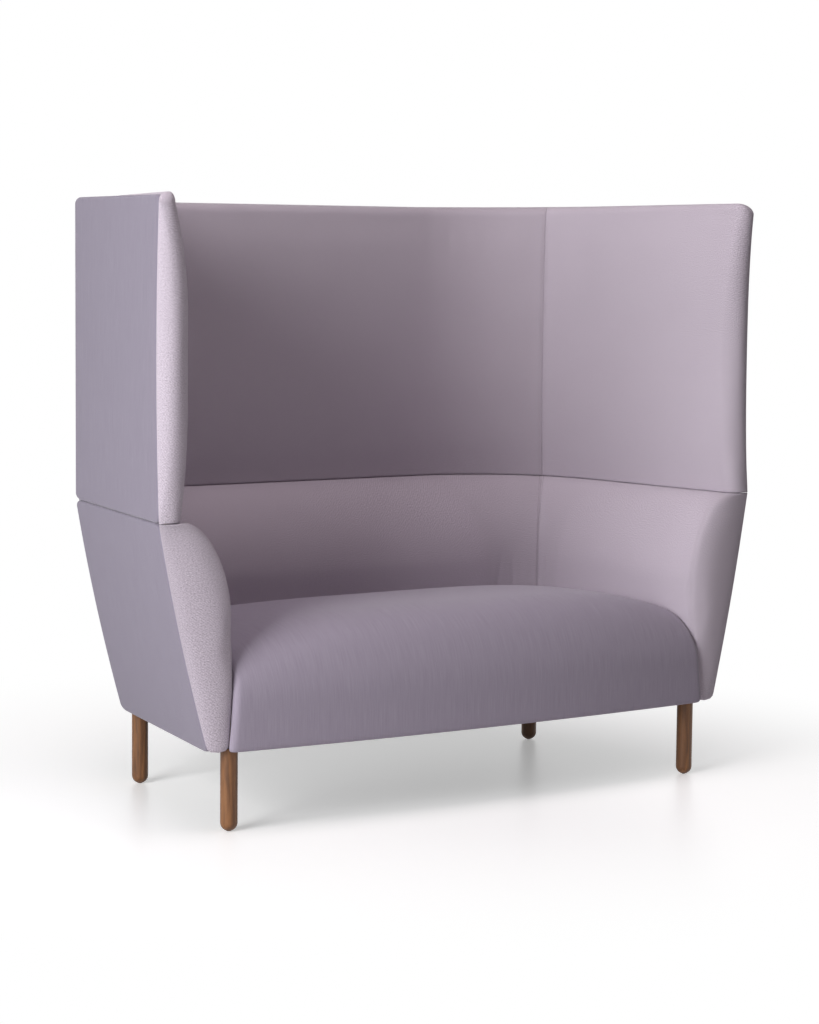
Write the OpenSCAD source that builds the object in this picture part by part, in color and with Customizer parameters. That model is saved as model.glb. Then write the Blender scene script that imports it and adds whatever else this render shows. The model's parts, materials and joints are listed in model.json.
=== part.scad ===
// High-backed screen sofa: a tapering upholstered lower body with a seat, four turned legs,
// and a tall U-shaped screen that stands on the lower body. Millimetres, Z up, front towards -Y,
// origin on the floor under the middle of the bounding box.

/* [Overall] */
// Width over the outer side panels at their front edge
overall_w = 1600; // [1450:10:1850]
// Depth from the bow of the seat front to the outer back
overall_d = 910; // [880:5:960]
// Height of the top edge of the side panels
screen_top_z = 1364; // [1200:2:1500]
// Height of the line where the screen stands on the lower body
joint_z = 675; // [640:1:720]
// Height of the upholstered underside, which is the length of leg that shows
body_bottom_z = 178; // [150:1:200]
// Angle at which each side turns in towards the back, in degrees
side_splay = 8.4; // [4:0.1:11]
// How far the lower body draws in from the joint line to its underside
side_taper = 111; // [80:1:125]

/* [Seat] */
// Height of the highest point of the seat
seat_crest_z = 450; // [430:1:480]
// Height at which the seat meets the arms and the back
seat_edge_z = 398; // [380:1:410]
// How far the seat front bows out in front of the side panels
seat_overhang = 70; // [66:1:80]
// Depth of the bow of the seat front from its ends to its middle
seat_bow = 30; // [20:1:34]
// Distance of the highest line of the seat behind its front
seat_crest_depth = 225; // [200:5:260]

/* [Upholstery] */
// Thickness of an outer panel with its padding
panel_t = 22; // [20:0.5:24]
// Thickness of the wings over panel, board and pad
wing_t = 63; // [56:1:80]
// Thickness of the screen at the middle of its back
screen_back_t = 95; // [80:1:120]
// Inner corner radius of the screen
screen_corner_r = 340; // [260:5:360]
// Swell of the arm pads into the seat space
arm_swell = 109; // [80:1:115]
// Swell of the lower back pad into the seat space
back_swell = 181; // [130:1:190]
// Inner corner radius at seat level
seat_corner_r = 140; // [110:5:180]
// Outward crown of the lower panels at the middle of their height
lower_crown = 7; // [3:0.5:10]
// How far the padded fronts stand ahead of the side panels
nose_out = 8; // [5:1:20]

/* [Frame] */
// Thickness of the side and back boards
board_t = 15; // [12:1:16]
// Height of the seat rails
rail_h = 110; // [85:1:112]
// Thickness of the front, rear and cross rails
rail_t = 30; // [22:1:36]

/* [Legs] */
// Diameter of a leg
leg_d = 38; // [32:1:40]
// Distance of the front legs behind the front edges of the side panels
front_leg_back = 5; // [0:1:10]
// Distance of the front legs in from the upper outer faces of the sides
front_leg_in = 171.4; // [166:0.2:182]
// Distance of the back legs in from the upper outer faces of the sides
back_leg_in = 157; // [156:0.2:172]
// Distance of the back legs in front of the outer back
back_leg_ahead = 283; // [275:1:305]
// Diameter of the stud that holds a leg
stud_d = 10; // [8:1:12]

/* [Hidden] */

// Clearances and overrun
soft_gap = 0.3;
flat_gap = 0.1;
cut_over = 2;

// Colours of the finishes
pad_colour = [0.70, 0.66, 0.72];
panel_colour = [0.56, 0.53, 0.60];
walnut_colour = [0.36, 0.24, 0.16];
ply_colour = [0.80, 0.67, 0.48];
timber_colour = [0.76, 0.62, 0.42];
steel_colour = [0.60, 0.61, 0.63];
webbing_colour = [0.22, 0.22, 0.24];
foam_colour = [0.92, 0.90, 0.80];

// Plan of the outer body: a straight splayed side, a corner arc and a straight back
side_x = overall_w / 2;
side_y = seat_overhang - overall_d / 2;
back_y = overall_d / 2;
corner_r = 317.5;
start_y = back_y - corner_r * (1 - sin(side_splay));
corner_start = (start_y - side_y) / cos(side_splay);
panel_past_start = 9;
panel_run = corner_start + panel_past_start;
board_in = panel_t;
board_out = panel_t + board_t;
inner_back_y = back_y - screen_back_t;

// Heights of the screen
board_top_drop = 24;
board_top_z = screen_top_z - board_top_drop;
front_crest_rise = 8;
back_crest_drop = 3;
back_panel_drop = 11;
joint_gap = 1.5;

// Roundings and crowns of the soft pieces
pad_crown = 9;
head_thin = 26;
foot_thin = 8;
ease_run = 250;
edge_power = 3;
pad_top_r = 24;
pad_foot_r = 14;
panel_edge_r = 8;
panel_corner_r = 22;
front_bow = 18;
nose_start = 2;
nose_top_round = 30;
nose_foot_round = 12;
nose_seam_r = 20;
wing_edge_in = 10;
arm_edge_in = 16;
arm_bottom_round = 26;
arm_top_round = 5;
arm_foot_in = 12;
nose_inner_r = 28;
step_slant = 1;
arc_steps = 16;
seam_steps = 5;
back_u_shares = [2.4, 2.8];
seam_half_gap_share = 0.0009;

// Heights of the seat frame, from the underside up
plate_t = 4;
cloth_t = 1.2;
plate_rise = 4.8;
plate_z = body_bottom_z + plate_rise;
cloth_z = plate_z + plate_t;
frame_z = cloth_z + cloth_t;
webbing_t = 2.5;
end_rail_top_z = frame_z + rail_h;
side_rail_top_z = end_rail_top_z - webbing_t;
foam_t = 44;
foam_z = end_rail_top_z + webbing_t + soft_gap;
foam_top_z = foam_z + foam_t;
skirt_end_z = end_rail_top_z + webbing_t + 2 * soft_gap;

// Shoulder of the lower pads, from seat level to the joint line
shoulder_z = 470;
shoulder_power = 1.8;

// A place on the side, at run s from its front edge and inset t from its outer face
function side_pt(s, t) = [
    side_x - t * cos(side_splay) - s * sin(side_splay),
    side_y - t * sin(side_splay) + s * cos(side_splay)
];
function arc_centre(t, yb, r) = [
    (side_x * cos(side_splay) + side_y * sin(side_splay) - r - t
        - (yb - r) * sin(side_splay)) / cos(side_splay),
    yb - r
];
function arc_start(t, yb, r) =
    (yb - r * (1 - sin(side_splay)) - side_y + t * sin(side_splay)) / cos(side_splay);

// Plan curve: u runs 0 to 1 along the side, 1 to 2 round the corner, 2 to 3 to the centre line
function plan_pt(u, t, yb, r, s_first = 0) =
    u <= 1 ? side_pt(s_first + u * (arc_start(t, yb, r) - s_first), t)
    : u <= 2 ? arc_centre(t, yb, r) + r * [
        cos(side_splay + (u - 1) * (90 - side_splay)),
        sin(side_splay + (u - 1) * (90 - side_splay))]
    : [arc_centre(t, yb, r)[0] * (3 - u), yb];
// Half length of the straight boards across the back
back_half = arc_centre(board_in, back_y - board_in, corner_r - board_in)[0];
function shell_pt(u, t, s_first = 0) = plan_pt(u, t, back_y - t, corner_r - t, s_first);
function down_share(z) = z >= joint_z ? 0 : (joint_z - z) / (joint_z - body_bottom_z);
function draw_in(z) = side_taper * down_share(z);
function crown_at(z) = lower_crown * 4 * down_share(z) * (1 - down_share(z));
function reversed(list) = [for (i = [len(list) - 1:-1:0]) list[i]];
function flipped(ring) = [for (p = ring) [-p[0], p[1], p[2]]];

// How much of the full swell a lower pad has at height z
function swell_share(z) = z <= shoulder_z ? 1
    : pow(1 - pow((min(z, joint_z) - shoulder_z) / (joint_z - shoulder_z), shoulder_power),
        1 / shoulder_power);
function lower_inner_pt(u, z, s_first = 0) = let (f = swell_share(z)) plan_pt(u,
    wing_t + arm_swell * f, inner_back_y - back_swell * f,
    screen_corner_r + (seat_corner_r - screen_corner_r) * f, s_first);

// Closed skin over stations, each a ring whose first half pairs with its second half reversed
module skin(rings) {
    n = len(rings);
    k = len(rings[0]);
    half = k / 2;
    last = (n - 1) * k;
    polyhedron(
        points = [for (ring = rings) each ring],
        faces = concat(
            [for (i = [0:n - 2], j = [0:k - 1]) let (m = (j + 1) % k)
                each [[i * k + j, i * k + m, i * k + k + m], [i * k + j, i * k + k + m, i * k + k + j]]],
            [for (j = [0:half - 2]) each [
                [k - 1 - j, j + 1, j], [k - 1 - j, k - 2 - j, j + 1]]],
            [for (j = [0:half - 2]) each [
                [last + k - 1 - j, last + j, last + j + 1],
                [last + k - 1 - j, last + j + 1, last + k - 2 - j]]]
        ),
        convexity = 6);
}

// Solid from nested rings, closed at each end by a fan round a middle point
module stacked(rings, first_point, last_point) {
    n = len(rings);
    k = len(rings[0]);
    polyhedron(
        points = concat([for (ring = rings) each ring], [first_point, last_point]),
        faces = concat(
            [for (j = [0:k - 1]) [n * k, j, (j + 1) % k]],
            [for (i = [0:n - 2], j = [0:k - 1]) let (m = (j + 1) % k)
                each [[i * k + j, i * k + k + m, i * k + m], [i * k + j, i * k + k + j, i * k + k + m]]],
            [for (j = [0:k - 1]) [n * k + 1, (n - 1) * k + (j + 1) % k, (n - 1) * k + j]]
        ),
        convexity = 6);
}

// Right-hand pieces are drawn; left-hand ones are their mirror images
module left_hand() {
    mirror([1, 0, 0]) children();
}
// Local frame of the right side: X runs back along it, Y is the inset, Z is up
module on_side() {
    translate([side_x, side_y, 0]) rotate([0, 0, 90 + side_splay]) children();
}
// Local frame of the back: X runs across, Y is the inset, Z is up
module on_back() {
    translate([0, back_y, 0]) rotate([0, 0, 180]) children();
}
// Bar along X with a section drawn in Y and Z
module bar(x0, x1, section) {
    translate([x0, 0, 0]) rotate([90, 0, 90]) linear_extrude(x1 - x0) polygon(section);
}

// Legs
leg_bore_depth = 42;
leg_top_z = plate_z;
front_leg_y = side_y + front_leg_back;
front_leg_x = side_x_at(front_leg_y, front_leg_in);
rear_leg_y = back_y - back_leg_ahead;
rear_leg_x = side_x_at(rear_leg_y, back_leg_in);
leg_gap = 0.1;
glide_d = 9;
glide_h = 9;
glide_out = 1;
tip_z = sqrt(pow(leg_d / 2, 2) - pow(glide_d / 2 + glide_out, 2)) + glide_out;
stud_up = 32;
function leg_places() = [
    [-front_leg_x, front_leg_y], [front_leg_x, front_leg_y],
    [-rear_leg_x, rear_leg_y], [rear_leg_x, rear_leg_y]];

// Turned leg with a round foot, a socket for its stud and one for its glide
module leg(place) {
    color(walnut_colour) translate([place[0], place[1], 0]) difference() {
        union() {
            translate([0, 0, tip_z]) cylinder(d = leg_d, h = leg_top_z - tip_z, $fn = 64);
            intersection() {
                translate([0, 0, tip_z]) sphere(d = leg_d, $fn = 64);
                translate([0, 0, glide_out]) cylinder(d = leg_d + cut_over, h = tip_z, $fn = 64);
            }
        }
        translate([0, 0, leg_top_z - leg_bore_depth])
            cylinder(d = stud_d, h = leg_bore_depth + cut_over, $fn = 48);
        translate([0, 0, -cut_over])
            cylinder(d = glide_d + 2 * leg_gap, h = glide_h + leg_gap + cut_over, $fn = 48);
    }
}
module leg_glides() {
    color("dimgray") for (place = leg_places())
        translate([place[0], place[1], 0]) cylinder(d = glide_d, h = glide_h, $fn = 48);
}
module leg_studs() {
    color(steel_colour) for (place = leg_places())
        translate([place[0], place[1], leg_top_z - leg_bore_depth + leg_gap])
            cylinder(d = stud_d - 2 * leg_gap, h = leg_bore_depth + stud_up - leg_gap, $fn = 48);
}

// Plate under each block, with three screws clear of the leg
plate_out = 22;
plate_in = 40;
plate_front = 14;
plate_rear = 44;
screw_d = 5;
screw_head_d = 9;
screw_head_h = 2.2;
plate_screw_len = 24;
screw_in_x = 33;
screw_out_x = 6;
screw_near_y = 6;
screw_far_y = 34;
function plate_screw_spots() = [
    [-screw_in_x, -screw_near_y], [-screw_in_x, screw_far_y], [screw_out_x, screw_far_y]];

// Children are placed at each leg, drawn for the right front one
module at_legs() {
    for (place = leg_places()) let (left = place[0] < 0 ? 1 : 0, rear = place[1] > 0 ? 1 : 0)
        translate([place[0], place[1], 0]) mirror([left, 0, 0]) mirror([0, rear, 0]) children();
}
module leg_plates() {
    color(steel_colour) at_legs() translate([0, 0, plate_z]) difference() {
        translate([-plate_in, -plate_front, 0])
            cube([plate_in + plate_out, plate_front + plate_rear, plate_t]);
        translate([0, 0, -cut_over])
            cylinder(d = stud_d, h = plate_t + 2 * cut_over, $fn = 48);
        for (spot = plate_screw_spots())
            translate([spot[0], spot[1], -cut_over])
                cylinder(d = screw_d, h = plate_t + 2 * cut_over, $fn = 32);
    }
}
module leg_plate_screws() {
    color("silver") at_legs() for (spot = plate_screw_spots()) translate([spot[0], spot[1], plate_z]) {
        translate([0, 0, -screw_head_h])
            cylinder(d = screw_head_d, h = screw_head_h, $fn = 32);
        translate([0, 0, -leg_gap])
            cylinder(d = screw_d - 2 * leg_gap, h = plate_screw_len, $fn = 32);
    }
}

// Seat frame: rails, blocks over the legs and bearers under the back
rail_w = 40;
block_front = 12;
block_front_y = front_leg_y - block_front;
block_depth = 80;
block_in = 44;
rear_rail_lead = 72;
rear_rail_y = rear_leg_y - rear_rail_lead;
rear_block_y = rear_rail_y + rail_t + flat_gap;
rear_block_depth = 64;
cross_rail_x = 200;
cross_rail_drop = 38;
bearer_w = 32;
bearer_x_share = 0.82;
bearer_drop = 30;
board_front = 20;
former_stand_off = 5;
rail_inset = board_out + draw_in(frame_z) + rail_w;

// X of a place on the right side with inset t at depth y
function side_x_at(y, t) =
    (side_x * cos(side_splay) + side_y * sin(side_splay) - t - y * sin(side_splay)) / cos(side_splay);
function side_run_at(y, t) = (y - side_y + t * sin(side_splay)) / cos(side_splay);
function against_board(z) = board_out + draw_in(z) + flat_gap;

function former_clear(y) = y > start_y ? former_stand_off : 0;

module stud_and_screw_holes() {
    at_legs() {
        translate([0, 0, frame_z - cut_over])
            cylinder(d = stud_d, h = stud_up + leg_gap + cut_over, $fn = 48);
        for (spot = plate_screw_spots()) translate([spot[0], spot[1], frame_z - cut_over])
            cylinder(d = screw_d, h = plate_screw_len + leg_gap + cut_over, $fn = 32);
    }
}
module seat_front_rail() {
    x_end = front_leg_x - block_in - flat_gap;
    color(timber_colour) translate([-x_end, block_front_y, frame_z])
        cube([2 * x_end, rail_t, rail_h]);
}
module seat_rear_rail() {
    near = side_x_at(rear_rail_y, rail_inset) - flat_gap;
    far = side_x_at(rear_rail_y + rail_t, rail_inset) - flat_gap;
    color(timber_colour) translate([0, 0, frame_z]) linear_extrude(rail_h)
        polygon([[-near, rear_rail_y], [near, rear_rail_y],
            [far, rear_rail_y + rail_t], [-far, rear_rail_y + rail_t]]);
}
module seat_side_rail() {
    color(timber_colour) intersection() {
        on_side() bar(0, panel_run, [
            [against_board(frame_z), frame_z], [rail_inset, frame_z],
            [rail_inset, side_rail_top_z], [against_board(side_rail_top_z), side_rail_top_z]]);
        translate([0, block_front_y + block_depth + flat_gap, 0])
            cube([side_x, rear_block_y - flat_gap - block_front_y - block_depth - flat_gap, joint_z]);
    }
}
// Past the straight side a block stands off, where the corner former curves in
module leg_block(y0, depth, x_in) {
    intersection() {
        on_side() bar(-panel_run / 2, 2 * panel_run, [
            [against_board(frame_z) + former_clear(y0 + depth), frame_z], [side_x, frame_z],
            [side_x, side_rail_top_z],
            [against_board(side_rail_top_z) + former_clear(y0 + depth), side_rail_top_z]]);
        translate([x_in, y0, frame_z]) cube([side_x, depth, rail_h]);
    }
}
module leg_blocks() {
    color(timber_colour) difference() {
        for (side = [0, 1]) mirror([side, 0, 0]) {
            leg_block(block_front_y, block_depth, front_leg_x - block_in);
            leg_block(rear_block_y, rear_block_depth, rear_leg_x - block_in);
        }
        stud_and_screw_holes();
    }
}
module seat_cross_rails() {
    y0 = block_front_y + rail_t + flat_gap;
    color(timber_colour) for (x = [-cross_rail_x, cross_rail_x])
        translate([x - rail_t / 2, y0, frame_z])
            cube([rail_t, rear_rail_y - flat_gap - y0, rail_h - cross_rail_drop]);
}
module back_bearers() {
    top_z = end_rail_top_z - bearer_drop;
    color(timber_colour) for (f = [-bearer_x_share, 0, bearer_x_share]) let (x = f * back_half)
        bar(x - bearer_w / 2, x + bearer_w / 2, [
            [rear_block_y, frame_z], [back_y - against_board(frame_z), frame_z],
            [back_y - against_board(top_z), top_z], [rear_block_y, top_z]]);
}

// Webbing, foam and the cloth under the frame
strap_w = 50;
straps_per_side = 4;
strap_end = 4;
strap_side_clear = 18;
strap_pitch = (side_x_at(rear_rail_y, rail_inset) - strap_side_clear - strap_w / 2) / straps_per_side;
cross_straps = 4;
cross_strap_clear = 25;
cross_strap_y = block_front_y + block_depth + cross_strap_clear;
cross_strap_pitch = (rear_rail_y - cross_strap_clear - strap_w - cross_strap_y) / (cross_straps - 1);
foam_inset = 42;
foam_front = 6;
module seat_webbing_long() {
    color(webbing_colour) for (i = [-straps_per_side:straps_per_side])
        translate([i * strap_pitch - strap_w / 2, block_front_y + strap_end, end_rail_top_z])
            cube([strap_w, rear_rail_y + rail_t - strap_end - block_front_y - strap_end, webbing_t]);
}
module seat_webbing_cross() {
    color(webbing_colour) for (i = [0:cross_straps - 1])
        let (y = cross_strap_y + i * cross_strap_pitch, x = side_x_at(y, rail_inset - rail_w / 2))
            translate([-x, y, side_rail_top_z]) cube([2 * x, strap_w, webbing_t]);
}
module seat_foam() {
    color(foam_colour) translate([0, 0, foam_z]) linear_extrude(foam_t)
        polygon(both_sides(concat(
            [[0, block_front_y + foam_front],
                [side_x_at(block_front_y + foam_front, seat_inset + foam_inset),
                    block_front_y + foam_front]],
            [for (u = [0.5, 1]) seat_side(u, foam_inset)],
            [for (i = [1:arc_steps]) seat_side(1 + i / arc_steps, foam_inset)],
            [seat_side(3, foam_inset)])));
}
module dust_cover() {
    z = frame_z;
    t = board_out + draw_in(z);
    color([0.13, 0.13, 0.14]) translate([0, 0, cloth_z]) difference() {
        linear_extrude(cloth_t) polygon(both_sides(concat(
            [[0, block_front_y], [side_x_at(block_front_y, t), block_front_y]],
            [shell_pt(1, t)],
            [for (i = [1:arc_steps]) shell_pt(1 + i / arc_steps, t)],
            [shell_pt(3, t)])));
        at_legs() {
            translate([0, 0, -cut_over])
                cylinder(d = stud_d + 2 * leg_gap, h = cloth_t + 2 * cut_over, $fn = 48);
            for (spot = plate_screw_spots()) translate([spot[0], spot[1], -cut_over])
                cylinder(d = screw_d + 2 * leg_gap, h = cloth_t + 2 * cut_over, $fn = 32);
        }
    }
}
// Closed outline from its right half, which starts and ends on the centre line
function both_sides(half) = concat(half,
    [for (i = [len(half) - 2:-1:1]) [-half[i][0], half[i][1]]]);

// Seat cushion: a crowned loaf with a rolled front, hollow below for the frame and foam
seat_inset = wing_t + arm_swell + soft_gap;
seat_rear_y = inner_back_y - back_swell - soft_gap;
seat_front_y = -overall_d / 2;
seat_end_x = side_x_at(seat_front_y + seat_bow, seat_inset);
seat_front_r = 26;
roll_depth = 150;
roll_foot_z = 268;
roll_power = 2.2;
crest_y = seat_front_y + seat_crest_depth;
crown_power = 4;
skirt_tuck_share = 0.54;
skirt_wall_y = block_front_y - soft_gap;
seat_corner_y = seat_front_y + seat_bow + seat_front_r;
foam_clear = 2;
hollow_inset = foam_inset - foam_clear;
hollow_step = 4;
skirt_z = body_bottom_z + soft_gap;
ring_shares = [1, 0.985, 0.96, 0.92, 0.86, 0.77, 0.66, 0.52, 0.36];
front_shares = [0, 0.25, 0.5, 0.75];
front_corner_angles = [0, 25, 50];
side_u_shares = [0, 0.2, 0.4, 0.7];
rear_u_shares = [2.5, 3];
seat_centre = [0, (seat_front_y + seat_rear_y) / 2];

function seat_side(u, e) = plan_pt(u, seat_inset + e, seat_rear_y - e,
    seat_corner_r - soft_gap - e, side_run_at(block_front_y - flat_gap, seat_inset));
function front_y_at(x) = seat_front_y + seat_bow * pow(x / seat_end_x, 2);
// Right half of the outline, from the middle of the front round to the middle of the rear
function seat_half() = let (x0 = seat_end_x - seat_front_r) concat(
    [for (f = front_shares) [f * x0, front_y_at(f * x0)]],
    [for (v = front_corner_angles) [x0 + seat_front_r * sin(v),
        front_y_at(x0) + seat_front_r * (1 - cos(v))]],
    [[side_x_at(seat_corner_y, seat_inset), seat_corner_y]],
    [for (u = side_u_shares) seat_side(u, 0)],
    [for (i = [0:arc_steps]) seat_side(1 + i / arc_steps, 0)],
    [for (u = rear_u_shares) seat_side(u, 0)]);
// Height of the top at a place on the plan
function seat_top_at(x, y) = let (
        xs = x / side_x_at(y, seat_inset),
        crown = max(0, 1 - pow(abs(xs), crown_power)),
        pitch = y < crest_y ? 1 : max(0, 1 - pow((y - crest_y) / (seat_rear_y - crest_y), 2)),
        top = seat_edge_z + (seat_crest_z - seat_edge_z) * crown * pitch,
        v = max(0, min(1, (y - front_y_at(x)) / roll_depth)))
    roll_foot_z + (top - roll_foot_z) * pow(1 - pow(1 - v, roll_power), 1 / roll_power);
function toward(p, c, share) = [c[0] + (p[0] - c[0]) * share, c[1] + (p[1] - c[1]) * share];
function pull_in(p, e) = let (d = p - seat_centre) p - d * e / norm(d);
function in_front(p) = p[1] < block_front_y - 2 * flat_gap;
// Inner edge of the underside: a straight wall behind the front, the outline drawn in elsewhere
function hollow_pt(p) = let (wall_x = seat_end_x - hollow_inset, out = p[0] < 0 ? -1 : 1)
    in_front(p) ? [p[0] / seat_end_x * (wall_x - hollow_step), skirt_wall_y]
    : p[1] < block_front_y ? [out * wall_x, skirt_wall_y] : pull_in(p, hollow_inset);
// A point of the border: the front reaches down to the underside, the sides stop above the frame
function border_pt(p, tuck_share, z_front, z_side) =
    in_front(p) ? concat(toward(hollow_pt(p), p, tuck_share), [z_front]) : concat(p, [z_side]);
module seat_cushion() {
    outline = both_sides(seat_half());
    wall = seat_edge_z - skirt_end_z;
    color(panel_colour) stacked([
        for (f = reversed(ring_shares)) [for (p = outline)
            let (q = toward(p, seat_centre, f)) [q[0], q[1], seat_top_at(q[0], q[1])]],
        [for (p = outline) border_pt(p, 0, (roll_foot_z + skirt_z) / 2, seat_edge_z - wall / 3)],
        [for (p = outline)
            border_pt(p, skirt_tuck_share / 3, skirt_z + seat_front_r, seat_edge_z - wall / 2)],
        [for (p = outline) border_pt(p, skirt_tuck_share, skirt_z, skirt_end_z)],
        [for (p = outline) concat(hollow_pt(p), [in_front(p) ? skirt_z : skirt_end_z])],
        [for (p = outline) concat(hollow_pt(p), [foam_top_z + soft_gap])]],
        concat(seat_centre, [seat_top_at(seat_centre[0], seat_centre[1])]),
        concat(seat_centre, [foam_top_z + soft_gap]));
}

// Boards of the lower body and the screen, routed for the brackets between them
bracket_t = 5;
bracket_w = 44;
bracket_reach = 78;
bracket_run_shares = [0.226, 0.765];
bracket_x_shares = [-0.67, 0, 0.67];
bracket_screw_zs = [22, 56];
bracket_screw_len = 11;
screw_sink = 1;
dowel_d = 8;
dowel_len = 36;
dowel_run_shares = [0.104, 0.504, 0.904];
dowel_x_shares = [-0.85, -0.3, 0.3, 0.85];

function board_section(z0, z1) = [
    [board_in + draw_in(z0), z0], [board_out + draw_in(z0), z0],
    [board_out + draw_in(z1), z1], [board_in + draw_in(z1), z1]];
function bracket_section(grow) = let (z0 = joint_z - bracket_reach, z1 = joint_z + bracket_reach) [
    [board_out - bracket_t - grow, z1 + grow], [board_out + grow, z1 + grow], [board_out + grow, joint_z],
    [board_out + draw_in(z0 - grow) + grow, z0 - grow],
    [board_out - bracket_t + draw_in(z0 - grow) - grow, z0 - grow],
    [board_out - bracket_t - grow, joint_z]];
module bracket_at(x, grow) {
    bar(x - bracket_w / 2 - grow, x + bracket_w / 2 + grow, bracket_section(grow));
}
module screw_at(x, grow) {
    for (dz = bracket_screw_zs, up = [-1, 1]) let (z = joint_z + up * dz)
        translate([x, board_out + draw_in(z) - screw_sink, z]) rotate([90, 0, 0]) {
            translate([0, 0, -grow * cut_over * 2])
                cylinder(d = screw_head_d + 2 * grow * leg_gap,
                    h = screw_head_h + grow * (leg_gap + cut_over * 2), $fn = 32);
            cylinder(d = screw_d + 2 * grow * leg_gap, h = bracket_screw_len + grow * leg_gap, $fn = 32);
        }
}
module dowel_at(x, grow) {
    translate([x, (board_in + board_out) / 2, joint_z - dowel_len / 2 - grow * leg_gap])
        cylinder(d = dowel_d + 2 * grow * leg_gap, h = dowel_len + 2 * grow * leg_gap, $fn = 32);
}
module side_board(z0, z1) {
    color(ply_colour) on_side() difference() {
        bar(board_front, corner_start, board_section(z0, z1));
        for (f = bracket_run_shares) {
            bracket_at(f * corner_start, flat_gap);
            screw_at(f * corner_start, 1);
        }
        for (f = dowel_run_shares) dowel_at(f * corner_start, 1);
    }
}
module back_board(z0, z1) {
    color(ply_colour) on_back() difference() {
        bar(-back_half, back_half, board_section(z0, z1));
        for (f = bracket_x_shares) {
            bracket_at(f * back_half, flat_gap);
            screw_at(f * back_half, 1);
        }
        for (f = dowel_x_shares) dowel_at(f * back_half, 1);
    }
}
module corner_former(z0, z1) {
    q = board_section(z0, z1);
    color(ply_colour) skin([for (i = [0:arc_steps]) [for (c = [q[0], q[3], q[2], q[1]])
        let (p = shell_pt(1 + i / arc_steps, c[0])) [p[0], p[1], c[1]]]]);
}
module joining_brackets() {
    color(steel_colour) {
        for (side = [0, 1], f = bracket_run_shares) mirror([side, 0, 0]) on_side() difference() {
            bracket_at(f * corner_start, 0);
            screw_at(f * corner_start, 1);
        }
        for (f = bracket_x_shares) on_back() difference() {
            bracket_at(f * back_half, 0);
            screw_at(f * back_half, 1);
        }
    }
}
module joining_screws() {
    color("silver") {
        for (side = [0, 1], f = bracket_run_shares)
            mirror([side, 0, 0]) on_side() screw_at(f * corner_start, 0);
        for (f = bracket_x_shares) on_back() screw_at(f * back_half, 0);
    }
}
module joining_dowels() {
    color(timber_colour) {
        for (side = [0, 1], f = dowel_run_shares)
            mirror([side, 0, 0]) on_side() dowel_at(f * corner_start, 0);
        for (f = dowel_x_shares) on_back() dowel_at(f * back_half, 0);
    }
}

// Outer side panel: a flat upholstered board with soft edges, its front edge bowed
panel_side_shares = [0.2, 0.4, 0.6, 0.8];
panel_ring_insets = [2, 0, 0, 3, 9];
panel_depth_shares = [1, 0.8, 0.4, 0.17, 0.08];
panel_middle_share = 0.8;
quarter_angles = [0, 30, 60, 90];
function bow_at(z, z0, z1, bow) = bow * (1 - pow(2 * (z - z0) / (z1 - z0) - 1, 2));
function panel_outline(e, z0, z1) = let (
        r = max(panel_corner_r - e, soft_gap), l = panel_run - e, h0 = z0 + e, h1 = z1 - e)
    concat(
        [for (v = quarter_angles) [l - r + r * sin(v), h0 + r - r * cos(v)]],
        [for (f = panel_side_shares) [l, h0 + r + f * (h1 - h0 - 2 * r)]],
        [for (v = quarter_angles) [l - r + r * cos(v), h1 - r + r * sin(v)]],
        [for (v = quarter_angles) [e + r - r * sin(v), h1 - r + r * cos(v)]],
        [for (f = panel_side_shares) [e, h1 - r - f * (h1 - h0 - 2 * r)]],
        [for (v = quarter_angles) [e + r - r * cos(v), h0 + r - r * sin(v)]]);
// A place on a panel: the crown of the outer face fades to nothing at the inner one
function panel_place(p, depth_share, z0, z1, bow) = let (
        s = p[0] + bow_at(p[1], z0, z1, bow) * (1 - p[0] / panel_run),
        t = depth_share * (panel_t - flat_gap) - crown_at(p[1]) * (1 - depth_share),
        q = side_pt(s, t + draw_in(p[1]))) [q[0], q[1], p[1]];
module side_panel(z0, z1, bow) {
    middle = [panel_run / 2, (z0 + z1) / 2];
    color(panel_colour) stacked(concat(
        [[for (p = panel_outline(0, z0, z1))
            panel_place(toward(p, middle, panel_middle_share), 0, z0, z1, bow)]],
        [for (k = [len(panel_ring_insets) - 1:-1:0]) [for (p = panel_outline(panel_ring_insets[k], z0, z1))
            panel_place(p, panel_depth_shares[k], z0, z1, bow)]]),
        panel_place(middle, 0, z0, z1, bow), panel_place(middle, 1, z0, z1, bow));
}

// Outer back panel: wraps both corners and thins towards its ends
back_panel_start_share = 0.035;
thin_share = 0.9;
thin_from_share = 1.55;
thin_run_share = 0.35;
back_u_list_shares = concat([1 + back_panel_start_share], [for (i = [1:arc_steps]) 1 + i / arc_steps],
    back_u_shares);
function end_thin_share(u) = let (v = max(0, min(1, (thin_from_share - u) / thin_run_share)))
    thin_share * v * v * (3 - 2 * v);
function back_panel_ring(u, z0, z1) = let (
        f = end_thin_share(u), t0 = f * panel_t, t1 = panel_t - soft_gap, r = min(panel_edge_r, t1 - t0))
    [for (c = [
            [t1, z0], [t1, z0 + r], [t1, (z0 + z1) / 2], [t1, z1 - r], [t1, z1],
            [t0 + r / 3, z1], [t0, z1 - r], [t0, (z0 + z1) / 2], [t0, z0 + r], [t0 + r / 3, z0]])
        let (crown = c[0] == t0 ? crown_at(c[1]) * (1 - f) : 0,
            p = shell_pt(u, c[0] - crown + draw_in(c[1]))) [p[0], p[1], c[1]]];
module back_panel(z0, z1) {
    right = [for (u = back_u_list_shares) back_panel_ring(u, z0, z1)];
    color(panel_colour) skin(concat(right, [for (i = [len(right) - 1:-1:0]) flipped(right[i])]));
}

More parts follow.
